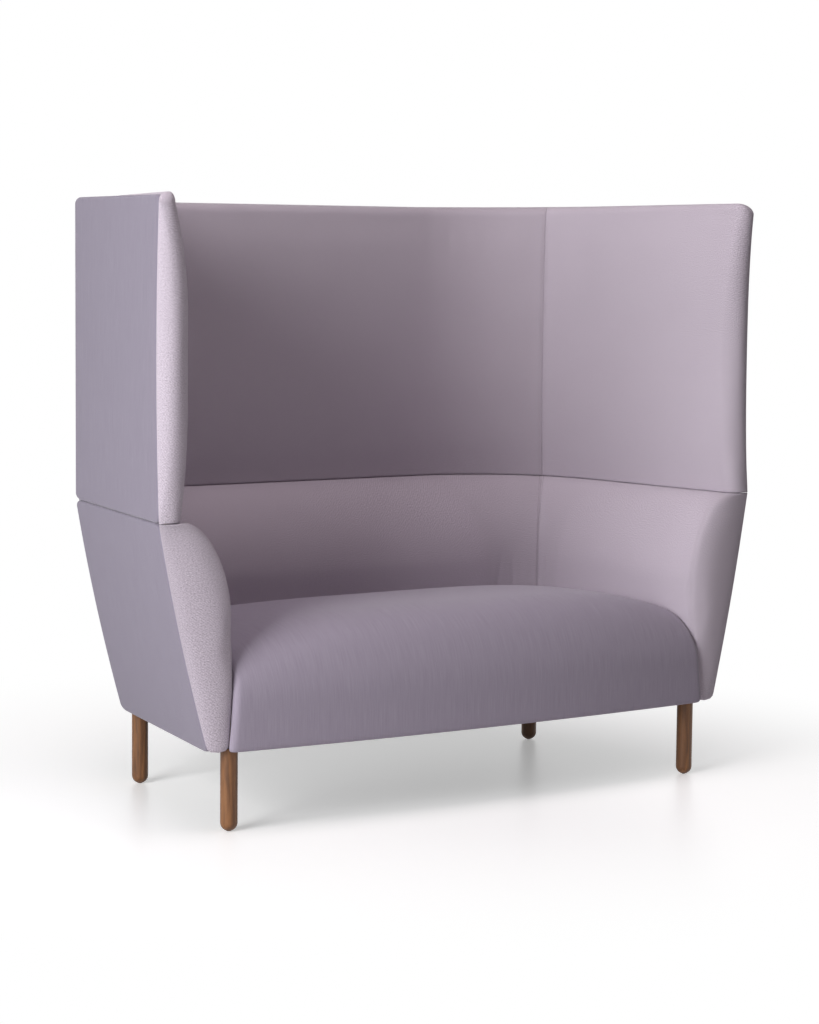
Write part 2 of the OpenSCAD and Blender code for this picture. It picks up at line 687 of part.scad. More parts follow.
// Screen pads: inner face with a crown, rounded head and foot, lapping over the board
wing_u_shares = [0.25, 0.5, 0.75, 1];
nose_angles = [75, 50, 25, 0];
foot_angles = [20, 50, 90];
face_shares = [0.2, 0.45, 0.68, 0.86];
head_angles = [90, 55, 20];
last_face = len(foot_angles) + len(face_shares) + len(head_angles) - 1;
last_on_board = last_face - len(head_angles);
screen_foot_z = joint_z + joint_gap / 2;
function crest_at(u) = screen_top_z + front_crest_rise
    - (front_crest_rise + back_crest_drop) * max(0, min(1, u / 2));
// Rounded edges of a pad: loss of thickness and height, from its foot up
function face_edge(zt) = let (z0 = screen_foot_z, span = zt - pad_top_r - z0 - pad_foot_r) concat(
    [for (v = foot_angles) [pad_foot_r * (1 - sin(v)), z0 + pad_foot_r * (1 - cos(v))]],
    [for (f = face_shares) [0, z0 + pad_foot_r + span * f]],
    [for (v = head_angles) [pad_top_r * (1 - sin(v)), zt - pad_top_r * (1 - cos(v))]]);
// The inner face thins towards head and foot, and most of all at the front of a wing
function ease(d) = pow(max(0, 1 - d / ease_run), 2);
function face_loss(c, zt, front) = c[0] - pad_crown
    + (pad_crown + head_thin * front) * ease(zt - c[1])
    + (pad_crown + foot_thin * front) * ease(c[1] - screen_foot_z);
function screen_back_line(zt) = let (f = face_edge(zt), lap = board_in + soft_gap) concat(
    [for (k = [0:last_on_board]) [board_out + soft_gap, f[k][1]]],
    [[board_out + soft_gap, board_top_z + soft_gap], [lap, board_top_z + 2 * soft_gap],
        [lap + back_crest_drop, zt - back_crest_drop]]);
function screen_ring(u) = let (zt = crest_at(u), f = face_edge(zt), front = max(0, 1 - u)) concat(
    [for (c = screen_back_line(zt)) let (p = shell_pt(u, c[0], front_bow + step_slant)) [p[0], p[1], c[1]]],
    reversed([for (c = f) let (loss = face_loss(c, zt, front),
        p = plan_pt(u, wing_t - loss, inner_back_y + loss, screen_corner_r + loss, front_bow + step_slant))
        [p[0], p[1], c[1]]]));
function screen_bow(z) = bow_at(z, screen_foot_z, screen_top_z, front_bow);
// Ring at the front edge of the side panel, before the pad steps in behind it
function step_ring(run, behind) = let (zt = crest_at(0), f = face_edge(zt), b = screen_back_line(zt))
    concat(
        [for (k = [0:last_face]) let (z = behind ? b[k][1] : f[k][1], t = behind ? b[k][0] : f[k][0] / 2,
                p = side_pt(run + screen_bow(z), t)) [p[0], p[1], z]],
        reversed([for (c = f) let (p = side_pt(run + screen_bow(c[1]), wing_t - face_loss(c, zt, 1)))
            [p[0], p[1], c[1]]]));
// Share of the height from the middle to an end, raised so that only the ends draw in
function end_share(z, z0, z1) = pow(abs(2 * (z - z0) / (z1 - z0) - 1), edge_power);
function nose_run(v) = -nose_start - (nose_out - nose_start) * sin(v);
function nose_ring(v) = let (
        zt = crest_at(0), z0 = screen_foot_z, f = face_edge(zt), turn = 1 - cos(v),
        low = z0 + nose_foot_round * turn, high = zt - nose_top_round * turn,
        zs = [for (c = f) low + (c[1] - z0) / (zt - z0) * (high - low)],
        runs = [for (z = zs) nose_run(v) + screen_bow(z) * cos(v)])
    concat(
        [for (k = [0:last_face]) let (
                t = nose_seam_r * turn + f[k][0] / 2 * cos(v)
                    + wing_edge_in * sin(v) * (f[k][1] < (z0 + zt) / 2 ? end_share(f[k][1], z0, zt) : 0),
                p = side_pt(runs[k], t)) [p[0], p[1], zs[k]]],
        reversed([for (k = [0:last_face]) let (
                t = wing_t - nose_inner_r * turn - face_loss(f[k], zt, 1) * (1 - turn / 3),
                p = side_pt(runs[k], t)) [p[0], p[1], zs[k]]]));
module wing_pad() {
    color(pad_colour) skin(concat(
        [for (v = nose_angles) nose_ring(v)],
        [step_ring(-step_slant - soft_gap, false), step_ring(-soft_gap, true)],
        [for (u = wing_u_shares) screen_ring(u)],
        [for (i = [1:seam_steps])
            screen_ring(1 + i / arc_steps - (i == seam_steps ? seam_half_gap_share : 0))]));
}
module screen_back_pad() {
    right = concat(
        [for (i = [seam_steps:arc_steps])
            screen_ring(1 + i / arc_steps + (i == seam_steps ? seam_half_gap_share : 0))],
        [for (u = back_u_shares) screen_ring(u)]);
    color(pad_colour) skin(concat(right, [for (i = [len(right) - 1:-1:0]) flipped(right[i])]));
}

// Lower pads: narrow at the joint line, swelling over a shoulder to seat level
shoulder_shares = [0.35, 0.65, 0.85, 0.96];
lower_top_z = joint_z - joint_gap / 2;
arm_foot_r = 10;
function lower_levels(z0) = concat(
    [z0, z0 + arm_foot_r, (z0 + shoulder_z) / 2, shoulder_z],
    [for (f = shoulder_shares) shoulder_z + f * (lower_top_z - shoulder_z)], [lower_top_z]);
function lower_ring(u) = let (zs = lower_levels(skirt_end_z)) concat(
    [for (z = zs) let (p = shell_pt(u, board_out + draw_in(z) + soft_gap, board_front)) [p[0], p[1], z]],
    reversed([for (z = zs) let (p = lower_inner_pt(u, z, board_front)) [p[0], p[1], z]]));
function arm_front_ring(run, v, z0, behind) = let (
        zs = lower_levels(z0), turn = 1 - cos(v), full = lower_top_z - z0,
        low = arm_bottom_round * turn, high = arm_top_round * turn,
        places = [for (z = zs) z0 + low + (z - z0) / full * (full - low - high)])
    concat(
        [for (k = [0:len(zs) - 1]) let (
                t = behind ? board_out + soft_gap : nose_seam_r * turn - crown_at(zs[k])
                    + arm_edge_in * sin(v) * end_share(zs[k], z0, lower_top_z),
                p = side_pt(run, t + draw_in(zs[k]))) [p[0], p[1], places[k]]],
        reversed([for (k = [0:len(zs) - 1]) let (
                t = wing_t + arm_swell * swell_share(zs[k]) - nose_inner_r * turn
                    - arm_foot_in * ease(zs[k] - body_bottom_z),
                p = side_pt(run, t)) [p[0], p[1], places[k]]]));
module arm_pad() {
    color(pad_colour) skin(concat(
        [for (v = nose_angles) arm_front_ring(nose_run(v), v, skirt_z, false)],
        [arm_front_ring(-step_slant - soft_gap, 0, skirt_z, false),
            arm_front_ring(-soft_gap, 0, skirt_end_z, true)],
        [for (u = wing_u_shares) lower_ring(u)],
        [for (i = [1:seam_steps])
            lower_ring(1 + i / arc_steps - (i == seam_steps ? seam_half_gap_share : 0))]));
}
module lower_back_pad() {
    right = concat(
        [for (i = [seam_steps:arc_steps])
            lower_ring(1 + i / arc_steps + (i == seam_steps ? seam_half_gap_share : 0))],
        [for (u = back_u_shares) lower_ring(u)]);
    color(pad_colour) skin(concat(right, [for (i = [len(right) - 1:-1:0]) flipped(right[i])]));
}

// Outer panels of the lower body and of the screen
lower_panel_z0 = body_bottom_z + soft_gap;
module lower_side_panel() {
    side_panel(lower_panel_z0, lower_top_z, 0);
}
module screen_side_panel() {
    side_panel(screen_foot_z, screen_top_z, front_bow);
}

leg(leg_places()[0]);  // leg_front_left
leg(leg_places()[1]);  // leg_front_right
leg(leg_places()[2]);  // leg_back_left
leg(leg_places()[3]);  // leg_back_right
leg_glides();
leg_studs();
leg_plates();
leg_plate_screws();
seat_front_rail();
seat_rear_rail();
left_hand() seat_side_rail();  // seat_side_rail_left
seat_side_rail();  // seat_side_rail_right
seat_cross_rails();
leg_blocks();
back_bearers();
seat_webbing_long();
seat_webbing_cross();
seat_foam();
seat_cushion();
dust_cover();
left_hand() side_board(frame_z, joint_z);  // lower_side_board_left
side_board(frame_z, joint_z);  // lower_side_board_right
back_board(frame_z, joint_z);  // lower_back_board
left_hand() corner_former(frame_z, joint_z);  // lower_corner_former_left
corner_former(frame_z, joint_z);  // lower_corner_former_right
left_hand() arm_pad();  // arm_pad_left
arm_pad();  // arm_pad_right
lower_back_pad();
left_hand() lower_side_panel();  // lower_side_panel_left
lower_side_panel();  // lower_side_panel_right
back_panel(lower_panel_z0, lower_top_z);  // lower_back_panel
left_hand() side_board(joint_z, board_top_z);  // screen_side_board_left
side_board(joint_z, board_top_z);  // screen_side_board_right
back_board(joint_z, board_top_z);  // screen_back_board
left_hand() corner_former(joint_z, board_top_z);  // screen_corner_former_left
corner_former(joint_z, board_top_z);  // screen_corner_former_right
left_hand() wing_pad();  // wing_pad_left
wing_pad();  // wing_pad_right
screen_back_pad();
left_hand() screen_side_panel();  // screen_side_panel_left
screen_side_panel();  // screen_side_panel_right
back_panel(screen_foot_z, screen_top_z - back_panel_drop);  // screen_back_panel
joining_brackets();
joining_screws();
joining_dowels();
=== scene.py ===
# High-backed two-seat screen sofa, dressed: covers, seams, legs and a plain studio. Metres.
import json
import math

import bmesh
import bpy
from mathutils import Matrix, Vector


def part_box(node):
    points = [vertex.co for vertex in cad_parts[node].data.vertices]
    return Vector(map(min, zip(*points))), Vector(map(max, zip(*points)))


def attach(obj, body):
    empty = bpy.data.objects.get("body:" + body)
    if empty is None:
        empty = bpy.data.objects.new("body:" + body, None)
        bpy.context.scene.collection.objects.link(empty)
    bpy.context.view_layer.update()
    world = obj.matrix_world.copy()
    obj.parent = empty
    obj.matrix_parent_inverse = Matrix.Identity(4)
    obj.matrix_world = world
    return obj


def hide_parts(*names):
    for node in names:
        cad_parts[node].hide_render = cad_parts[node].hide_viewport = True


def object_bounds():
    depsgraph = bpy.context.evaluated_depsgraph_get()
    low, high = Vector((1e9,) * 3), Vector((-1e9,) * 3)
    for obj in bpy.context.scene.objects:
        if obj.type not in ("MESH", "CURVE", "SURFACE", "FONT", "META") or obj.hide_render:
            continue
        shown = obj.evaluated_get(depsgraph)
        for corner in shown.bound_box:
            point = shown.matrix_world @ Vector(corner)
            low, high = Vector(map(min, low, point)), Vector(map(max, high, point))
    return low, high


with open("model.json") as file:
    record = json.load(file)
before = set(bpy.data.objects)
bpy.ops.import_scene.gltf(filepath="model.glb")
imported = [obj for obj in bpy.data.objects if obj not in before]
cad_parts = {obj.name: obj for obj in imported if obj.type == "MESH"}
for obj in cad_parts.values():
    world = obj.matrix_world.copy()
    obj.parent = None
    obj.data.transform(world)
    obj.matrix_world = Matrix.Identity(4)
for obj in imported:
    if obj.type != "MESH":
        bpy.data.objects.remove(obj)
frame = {"nodes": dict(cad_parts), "record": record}

cad_low, cad_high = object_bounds()
BODY = "root"


def mix(a, b, share):
    return a + (b - a) * share


def clamp(value):
    return min(max(value, 0.0), 1.0)


def steps(first, last, count):
    """Evenly spaced values from first to last, both included."""
    return [mix(first, last, i / count) for i in range(count + 1)]


def angles(count, first=0.0, last=90.0):
    return [math.radians(v) for v in steps(first, last, count)]


def raised(plan, z):
    return Vector((plan.x, plan.y, z))


# Plan of the outer body: a splayed side, a corner arc and a straight back
SIDE_X = cad_high.x
BACK_Y = cad_high.y
SIDE_Y = -0.385
SPLAY = math.radians(8.4)
COS = math.cos(SPLAY)
SIN = math.sin(SPLAY)
CORNER_TURN = math.pi / 2 - SPLAY
SIDE_TAPER = 0.111
CORNER_R = 0.3175
PANEL_T = 0.022
BOARD_OUT = 0.037
LOWER_CROWN = 0.007
SOFT_GAP = 0.0003

# Heights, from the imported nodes. The covers of the two storeys close most of the joint between them.
PANEL_FOOT, SCREEN_TOP = (corner.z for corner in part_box("screen_side_panel_right"))
SKIRT_Z, PANEL_TOP = (corner.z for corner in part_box("lower_side_panel_right"))
BACK_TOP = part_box("screen_back_panel")[1].z
CREST_Z = cad_high.z
BOARD_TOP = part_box("screen_back_board")[1].z
PAD_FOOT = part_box("lower_back_pad")[0].z
JOINT_Z = (PANEL_FOOT + PANEL_TOP) / 2
JOINT_CLOSED = 0.7
SCREEN_FOOT = mix(PANEL_FOOT, JOINT_Z, JOINT_CLOSED)
LOWER_TOP = mix(PANEL_TOP, JOINT_Z, JOINT_CLOSED)
UNDERSIDE_Z = SKIRT_Z - SOFT_GAP

# Pads of the screen
WING_T = 0.063
SCREEN_BACK_T = 0.095
INNER_BACK_Y = BACK_Y - SCREEN_BACK_T
SCREEN_R = 0.340
SEAM_ARC = CORNER_TURN * SCREEN_R
PAD_CROWN = 0.009
HEAD_THIN = 0.026
FOOT_THIN = 0.008
EASE_RUN = 0.250
HEAD_R = 0.024
FOOT_R = 0.005
FRONT_BOW = 0.018
LAP = 0.0226
LAP_DROP = 0.008
BOARD_CLEAR = 0.0055
CREST_SHARE = 0.42
BACK_CREST_DROP = 0.011
FACE_STEPS = 56
HEAD_STEPS = 6
CREST_STEPS = 5
ROUND_STEPS = 4

# Rolled fronts of the wings and the arms
NOSE_OUT = 0.008
NOSE_START = 0.002
NOSE_LINE_SHARE = 0.45
NOSE_RINGS = 9
NOSE_CLOTH = 0.080
WING_ROLL_DEPTH = 0.022
ARM_ROLL_DEPTH = 0.016
ARM_ROLL_LEAST = 0.25
NOSE_TOP_ROUND = 0.030
NOSE_FOOT_ROUND = 0.003
ARM_TOP_ROUND = 0.002
ARM_BOTTOM_ROUND = 0.012
ARM_FOOT_IN = 0.012
BEHIND_ROLL = 0.004
PANEL_CLEAR = 0.0006

# Pads of the lower body
ARM_SWELL = 0.109
ARM_CLOTH_SWELL = 0.14
BACK_SWELL = 0.181
SEAT_R = 0.140
SEAT_EDGE_Z = 0.398
SHOULDER_Z = 0.470
SHOULDER_POWER = 1.8
SHOULDER_STEPS = 24
LOWER_STEPS = 16

# Twin-needle seams: where they are, and how the cloth is held and drawn down beside them
SEAM_U = 1 + 5 / 16
SEAM_HALF_GAP = 0.00015
SEAM_HELD = 0.0092
SEAM_DIP = 0.0022
SEAM_DIP_RUN = 0.0032
STITCH_OFFSET = 0.0062
STITCH_DIP = 0.0009
STITCH_DIP_RUN = 0.0013
SEAM_DISTANCES = [0.0004, 0.0014, 0.0028, 0.0042, 0.0054, 0.0062, 0.0070, 0.0088, 0.013, 0.022, 0.034,
                  0.048, 0.064, 0.080]
SEAM_NEAR = SEAM_DISTANCES[-1] / SEAM_ARC
GRIP_RUN = 0.075


def side_place(run, inset):
    """A place on the right side, at a run from its front edge and an inset from its outer face."""
    return Vector((SIDE_X - inset * COS - run * SIN, SIDE_Y - inset * SIN + run * COS))


def side_spot(run, inset, z):
    return raised(side_place(run, inset), z)


def side_x_at(y, inset):
    return (SIDE_X * COS + SIDE_Y * SIN - inset - y * SIN) / COS


def arc_centre(inset, back, radius):
    return Vector((side_x_at(back - radius, inset + radius), back - radius))


def arc_start(inset, back, radius):
    return (back - radius * (1 - SIN) - SIDE_Y + inset * SIN) / COS


def plan_place(u, inset, back, radius, first=0.0):
    """Plan curve: u runs 0 to 1 along the side, 1 to 2 round the corner, 2 to 3 to the centre line."""
    if u <= 1:
        return side_place(mix(first, arc_start(inset, back, radius), u), inset)
    centre = arc_centre(inset, back, radius)
    if u <= 2:
        angle = SPLAY + (u - 1) * CORNER_TURN
        return centre + radius * Vector((math.cos(angle), math.sin(angle)))
    return Vector((centre.x * (3 - u), back))


def shell_spot(u, inset, z, first=0.0):
    """Place on the outer shell, at an inset from its face."""
    return raised(plan_place(u, inset, BACK_Y - inset, CORNER_R - inset, first), z)


def screen_spot(u, inset, z, first=0.0):
    """Place on the inner side of a screen pad, at an inset from the outer face of the body."""
    loss = WING_T - inset
    return raised(plan_place(u, inset, INNER_BACK_Y + loss, SCREEN_R + loss, first), z)


def lower_spot(u, z, swell, dip, first=0.0):
    """Place on the inner side of a lower pad that swells by a share, drawn down by a dip."""
    inset = WING_T + ARM_SWELL * swell - dip
    radius = mix(SCREEN_R, SEAT_R, swell) + dip
    return raised(plan_place(u, inset, INNER_BACK_Y - BACK_SWELL * swell + dip, radius, first), z)


def down_share(z):
    return max(0.0, (JOINT_Z - z) / (JOINT_Z - UNDERSIDE_Z))


def draw_in(z):
    return SIDE_TAPER * down_share(z)


def outer_crown(z):
    return LOWER_CROWN * 4 * down_share(z) * (1 - down_share(z))


def bow_at(z, low, high, bow):
    return bow * (1 - (2 * (z - low) / (high - low) - 1) ** 2)


def ease(distance):
    return max(0.0, 1 - distance / EASE_RUN) ** 2


def quarter_round(distance, radius):
    """Drop of a rounded edge at a distance inside it."""
    gone = max(0.0, 1 - distance / radius)
    return radius * (1 - math.sqrt(max(0.0, 1 - gone ** 2)))


def lengths(line):
    """Length of a line of points up to each of them."""
    total, out = 0.0, [0.0]
    for a, b in zip(line, line[1:]):
        total += math.dist(a, b)
        out.append(total)
    return out


# Profiles of the screen pads, from the foot up, as (inset, height)
def crest_at(u):
    return CREST_Z - BACK_CREST_DROP * clamp(u / 2)


def screen_thickness(z, crest, front):
    loss = (PAD_CROWN + HEAD_THIN * front) * ease(crest - z)
    loss += (PAD_CROWN + FOOT_THIN * front) * ease(z - SCREEN_FOOT)
    return WING_T + PAD_CROWN - loss


def screen_face(u):
    """Inner face of a screen pad from its foot to its crest."""
    crest, front = crest_at(u), max(0.0, 1 - u)
    low, high = SCREEN_FOOT + FOOT_R, crest - HEAD_R
    foot = screen_thickness(low, crest, front)
    head = screen_thickness(high, crest, front)
    top = mix(LAP, head, CREST_SHARE)
    face = [(foot - FOOT_R * (1 - math.sin(a)), low - FOOT_R * math.cos(a))
            for a in angles(ROUND_STEPS)[:-1]]
    face += [(screen_thickness(z, crest, front), z) for z in steps(low, high, FACE_STEPS)]
    face += [(mix(top, head, math.cos(a)), high + HEAD_R * math.sin(a)) for a in angles(HEAD_STEPS)[1:]]
    return face


def screen_crest(face, outer_inset, drop):
    """Top of a pad from the crest over to its outer edge."""
    inset, height = face[-1]
    return [(mix(inset, outer_inset, math.sin(a)), height - drop * (1 - math.cos(a)))
            for a in angles(CREST_STEPS)[1:]]


def screen_hidden(face, crest):
    """Back of a screen pad: up the board, over its top and up to the lap behind the panel."""
    inset = BOARD_OUT + 2 * SOFT_GAP
    turn = [(inset, BOARD_TOP + 3 * SOFT_GAP), (LAP, BOARD_TOP + 4 * SOFT_GAP)]
    below = [(inset, z) for _, z in face if z < BOARD_TOP - BOARD_CLEAR]
    rest = len(face) - len(below) - len(turn)
    lap = [tuple(mix(a, b, i / (rest + 1)) for a, b in zip(turn[1], crest[-1])) for i in range(1, rest + 1)]
    return below + turn + lap


def swell_levels(foot):
    """Heights of a lower pad from its foot, with the share of the swell at each."""
    below = [(z, 1.0) for z in steps(foot, SHOULDER_Z, LOWER_STEPS)[:-1]]
    power = 2 / SHOULDER_POWER
    shoulder = [(mix(SHOULDER_Z, LOWER_TOP, math.sin(a) ** power), math.cos(a) ** power)
                for a in angles(SHOULDER_STEPS)]
    shoulder[-1] = (LOWER_TOP, 0.0)
    return below + shoulder


# Finishes
WHITE = (1.0, 1.0, 1.0, 1.0)
finishes = {}


def tone(sample):
    """Colour of a sample, given from 0 to 255, as a shader takes it."""
    shares = [v / 255 for v in sample]
    return tuple(v / 12.92 if v <= 0.04045 else ((v + 0.055) / 1.055) ** 2.4 for v in shares) + (1.0,)


def maths(operation):
    """Method that does a maths operation of the shader on a value and another, or a number."""
    def method(self, other=0.0):
        return self.nodes.node("Math", {"operation": operation}, {0: self, 1: other})
    return method


class Value:
    """A number in a shader, so that maths on it is written as maths."""

    def __init__(self, nodes, socket):
        self.nodes = nodes
        self.socket = socket

    __add__ = __radd__ = maths("ADD")
    __sub__ = maths("SUBTRACT")
    __mul__ = __rmul__ = maths("MULTIPLY")
    __truediv__ = maths("DIVIDE")
    __abs__ = maths("ABSOLUTE")
    sine = maths("SINE")
    root = maths("SQRT")
    over = maths("MAXIMUM")

    def __rsub__(self, other):
        return self.nodes.node("Math", {"operation": "SUBTRACT"}, {0: other, 1: self})

    def wave(self, pitch):
        return (self * (math.tau / pitch)).sine()

    def half_up(self):
        """A wave from -1 to 1 as a share from 0 to 1."""
        return self * 0.5 + 0.5


def varied(*patterns):
    """Share about a half, moved by each pattern as far as its weight says."""
    share = 0.5
    for pattern, weight in patterns:
        share = share + (pattern - 0.5) * weight
    return share


class Nodes:
    """Node tree of a finish, or of the sky."""

    def __init__(self, tree):
        self.tree = tree

    def node(self, kind, settings, inputs, output=0):
        """A node of a kind: its settings, set first, and then the values or links of its sockets."""
        made = self.tree.nodes.new("ShaderNode" + kind)
        for name, value in settings.items():
            if name == "stops":
                set_stops(made.color_ramp.elements, value)
            else:
                setattr(made, name, value)
        for socket, value in inputs.items():
            self.fill(made.inputs[socket], value)
        return Value(self, made.outputs[output])

    def fill(self, socket, value):
        if isinstance(value, Value):
            self.tree.links.new(value.socket, socket)
        else:
            socket.default_value = value


class Finish(Nodes):
    """Material of one kind of surface: constants on its shader, and a pattern made of nodes."""

    def __init__(self, name, constants, cloth=False):
        finishes[name] = bpy.data.materials.new(name)
        finishes[name].use_nodes = True
        super().__init__(finishes[name].node_tree)
        self.shader = self.tree.nodes["Principled BSDF"]
        for socket, value in constants.items():
            self.shader.inputs[socket].default_value = value
        if cloth:
            source = self.node("UVMap", {"uv_map": "cloth"}, {})
        else:
            source = self.node("TexCoord", {}, {}, "Object")
        self.axes = [self.node("SeparateXYZ", {}, {0: source}, i) for i in range(2 if cloth else 3)]

    def paint(self, socket, value):
        self.fill(self.shader.inputs[socket], value)

    def colour(self, share, *stops):
        """Colour for a share: stops are pairs of a place and a sample's colour."""
        self.paint("Base Color", self.node("ValToRGB", {"stops": stops}, {0: share}))

    def emboss(self, height, depth):
        self.paint("Normal", self.node("Bump", {}, {"Height": height, "Distance": depth}))

    def pattern(self, kind, inputs, stretch=(1, 1, 1)):
        """Texture over the axes of the surface, in metres, each stretched by its factor."""
        axes = [axis if factor == 1 else axis * factor for axis, factor in zip(self.axes, stretch)]
        place = self.node("CombineXYZ", {}, dict(enumerate(axes)))
        return self.node(kind, {}, {"Vector": place} | inputs)

    def noise(self, scale, detail=2.0, stretch=(1, 1, 1)):
        return self.pattern("TexNoise", {"Scale": scale, "Detail": detail}, stretch)


def set_stops(elements, stops):
    while len(elements) < len(stops):
        elements.new(1.0)
    for element, (place, sample) in zip(elements, stops):
        element.position = place
        element.color = tone(sample)


CLOTH = {"Roughness": 0.95, "Specular IOR Level": 0.2, "Sheen Weight": 0.25, "Sheen Roughness": 0.4}
YARN = 0.0015
TWILL = 4
RIB = 0.0018
CORD = 0.004
WELD = 0.0025
TWIST = 0.0007


def pad_cloth(name, dark, middle, light):
    """Thick mixed-yarn twill: floats over two and under two, which make diagonal ribs."""
    cloth = Finish(name, CLOTH, cloth=True)
    warp, weft = (axis / YARN for axis in cloth.axes)
    diagonal = (warp + weft).wave(TWILL).half_up()
    warp_round, weft_round = abs(warp.wave(2)), abs(weft.wave(2))
    speck = cloth.noise(scale=0.8 / YARN)
    fleck = cloth.noise(scale=330.0)
    cloud = cloth.noise(scale=12.0)
    share = varied((speck, 0.9), (fleck, 1.2), (cloud, 0.06), (diagonal, 0.14))
    cloth.colour(share, (0.0, dark), (0.5, middle), (1.0, light))
    floats = diagonal * weft_round + (1 - diagonal) * warp_round
    cloth.emboss(floats + speck * 0.6 + fleck * 0.3, depth=0.0004)


def ribbed_cloth(name, dark, middle, light):
    """Smooth cloth with fine ribs running up it, uneven as spun yarn is."""
    cloth = Finish(name, CLOTH, cloth=True)
    rib = (cloth.axes[0] + cloth.noise(scale=60.0) * RIB).wave(RIB).half_up()
    streak = cloth.noise(1.0, detail=3.0, stretch=(1 / 0.0024, 1 / 0.07))
    broad = cloth.noise(1.0, stretch=(1 / 0.011, 1 / 0.35))
    speck = cloth.noise(scale=900.0, detail=1.0)
    share = varied((streak, 0.38), (broad, 0.1), (speck, 0.5), (rib, 0.1))
    cloth.colour(share, (0.0, dark), (0.5, middle), (1.0, light))
    cloth.emboss(rib + speck * 0.6 + streak * 0.2, depth=0.0002)


def walnut():
    """Oiled walnut with its grain up the leg: soft bands, dark pores and a satin skin."""
    wood = Finish("walnut", {"Specular IOR Level": 0.45, "Coat Roughness": 0.35})
    x, y, _ = wood.axes
    wander = wood.noise(scale=60.0, detail=3.0, stretch=(1, 1, 0.12))
    band = (x * 520 + y * 260 + wander * 14).sine().half_up()
    fibre = wood.noise(1.0, detail=3.0, stretch=(1500, 1500, 24))
    pore = (wood.noise(1.0, detail=1.0, stretch=(2600, 2600, 60)) - 0.62).over(0.0) * 5
    share = varied((band, 0.28), (fibre, 0.6), (wander, 0.5)) - pore * 0.5
    wood.colour(share, (0.0, (50, 30, 16)), (0.5, (116, 75, 42)), (1.0, (158, 110, 68)))
    wood.paint("Roughness", 0.42 + fibre * 0.16 + pore * 0.2)
    wood.paint("Coat Weight", 0.12 - pore * 0.05)
    wood.emboss(fibre * 0.4 - pore, depth=0.00012)


def sawn_wood(name, dark, light, band_pitch):
    """Planed or sawn wood with broad growth bands and fine fibres along Y."""
    wood = Finish(name, {"Specular IOR Level": 0.3})
    x, _, z = wood.axes
    wander = wood.noise(scale=20.0, detail=3.0, stretch=(1, 0.15, 1))
    band = ((z + x * 0.3) * (math.tau / band_pitch) + wander * 9).sine().half_up()
    fibre = wood.noise(1.0, stretch=(900, 20, 900))
    wood.colour(band * 0.5 + fibre * 0.5, (0.1, dark), (0.8, light))
    wood.paint("Roughness", 0.62 + fibre * 0.2)
    wood.emboss(fibre + band * 0.3, depth=0.0002)


def worked_metal(name, dark, light, scratch, roughness):
    """Bright metal with fine scratches and a clouded plating."""
    metal = Finish(name, {"Metallic": 1.0})
    line = metal.noise(1.0, stretch=(scratch, scratch * 0.06, scratch))
    cloud = metal.noise(scale=180.0, detail=3.0)
    metal.colour(line * 0.5 + cloud * 0.5, (0.2, dark), (0.8, light))
    metal.paint("Roughness", roughness + line * 0.15 + cloud * 0.1)
    metal.emboss(line, depth=0.00004)


def glide_plastic():
    """Moulded glide, its face scuffed by the floor."""
    plastic = Finish("glide_plastic", {"Specular IOR Level": 0.4})
    scuff = plastic.noise(1.0, detail=3.0, stretch=(1800, 240, 200))
    plastic.colour(scuff, (0.3, (38, 38, 40)), (0.8, (74, 73, 74)))
    plastic.paint("Roughness", 0.5 + scuff * 0.3)
    plastic.emboss(plastic.noise(scale=2500.0), depth=0.00005)


def strap_webbing():
    """Elastic webbing: cords lengthwise, and the rubber between them."""
    strap = Finish("webbing", {"Roughness": 0.85, "Specular IOR Level": 0.3})
    x, y, _ = strap.axes
    cords = x.wave(CORD) * y.wave(CORD)
    fuzz = strap.noise(scale=1600.0)
    strap.colour(cords * 0.3 + fuzz * 0.7, (0.1, (24, 24, 26)), (0.8, (72, 70, 74)))
    strap.emboss(cords + fuzz, depth=0.0004)


def open_foam():
    """Cut foam with open cells."""
    foam = Finish("foam", {"Roughness": 0.95, "Specular IOR Level": 0.1})
    cells = foam.pattern("TexVoronoi", {"Scale": 900.0})
    tint = foam.noise(scale=12.0)
    foam.colour(cells * 0.6 + tint * 0.5, (0.1, (196, 186, 150)), (0.8, (238, 231, 205)))
    foam.emboss(cells, depth=0.0005)


def dust_cloth():
    """Spunbonded cloth, with the rows of small welds that hold its fibres."""
    cloth = Finish("dust_cloth", {"Roughness": 0.9, "Specular IOR Level": 0.25})
    x, y, _ = cloth.axes
    welds = x.wave(WELD) * y.wave(WELD)
    fibre = cloth.noise(scale=1400.0, detail=3.0, stretch=(1, 1, 0))
    sag = cloth.noise(scale=5.0, detail=1.0, stretch=(1, 1, 0))
    share = fibre * 0.6 + welds * 0.12 + sag * 0.3
    cloth.colour(share, (0.15, (22, 22, 24)), (0.8, (58, 57, 61)))
    cloth.emboss(fibre * 0.6 - welds * 0.4, depth=0.0003)


def sewing_thread():
    """Twisted thread, darker than the pads."""
    thread = Finish("pad_thread", {"Roughness": 0.6, "Specular IOR Level": 0.4})
    x, y, z = thread.axes
    twist = (z + x + y).wave(TWIST).half_up()
    fuzz = thread.noise(scale=1500.0)
    thread.colour(twist * 0.4 + fuzz * 0.6, (0.1, (58, 49, 58)), (0.9, (104, 93, 104)))
    thread.emboss(twist, depth=0.0001)


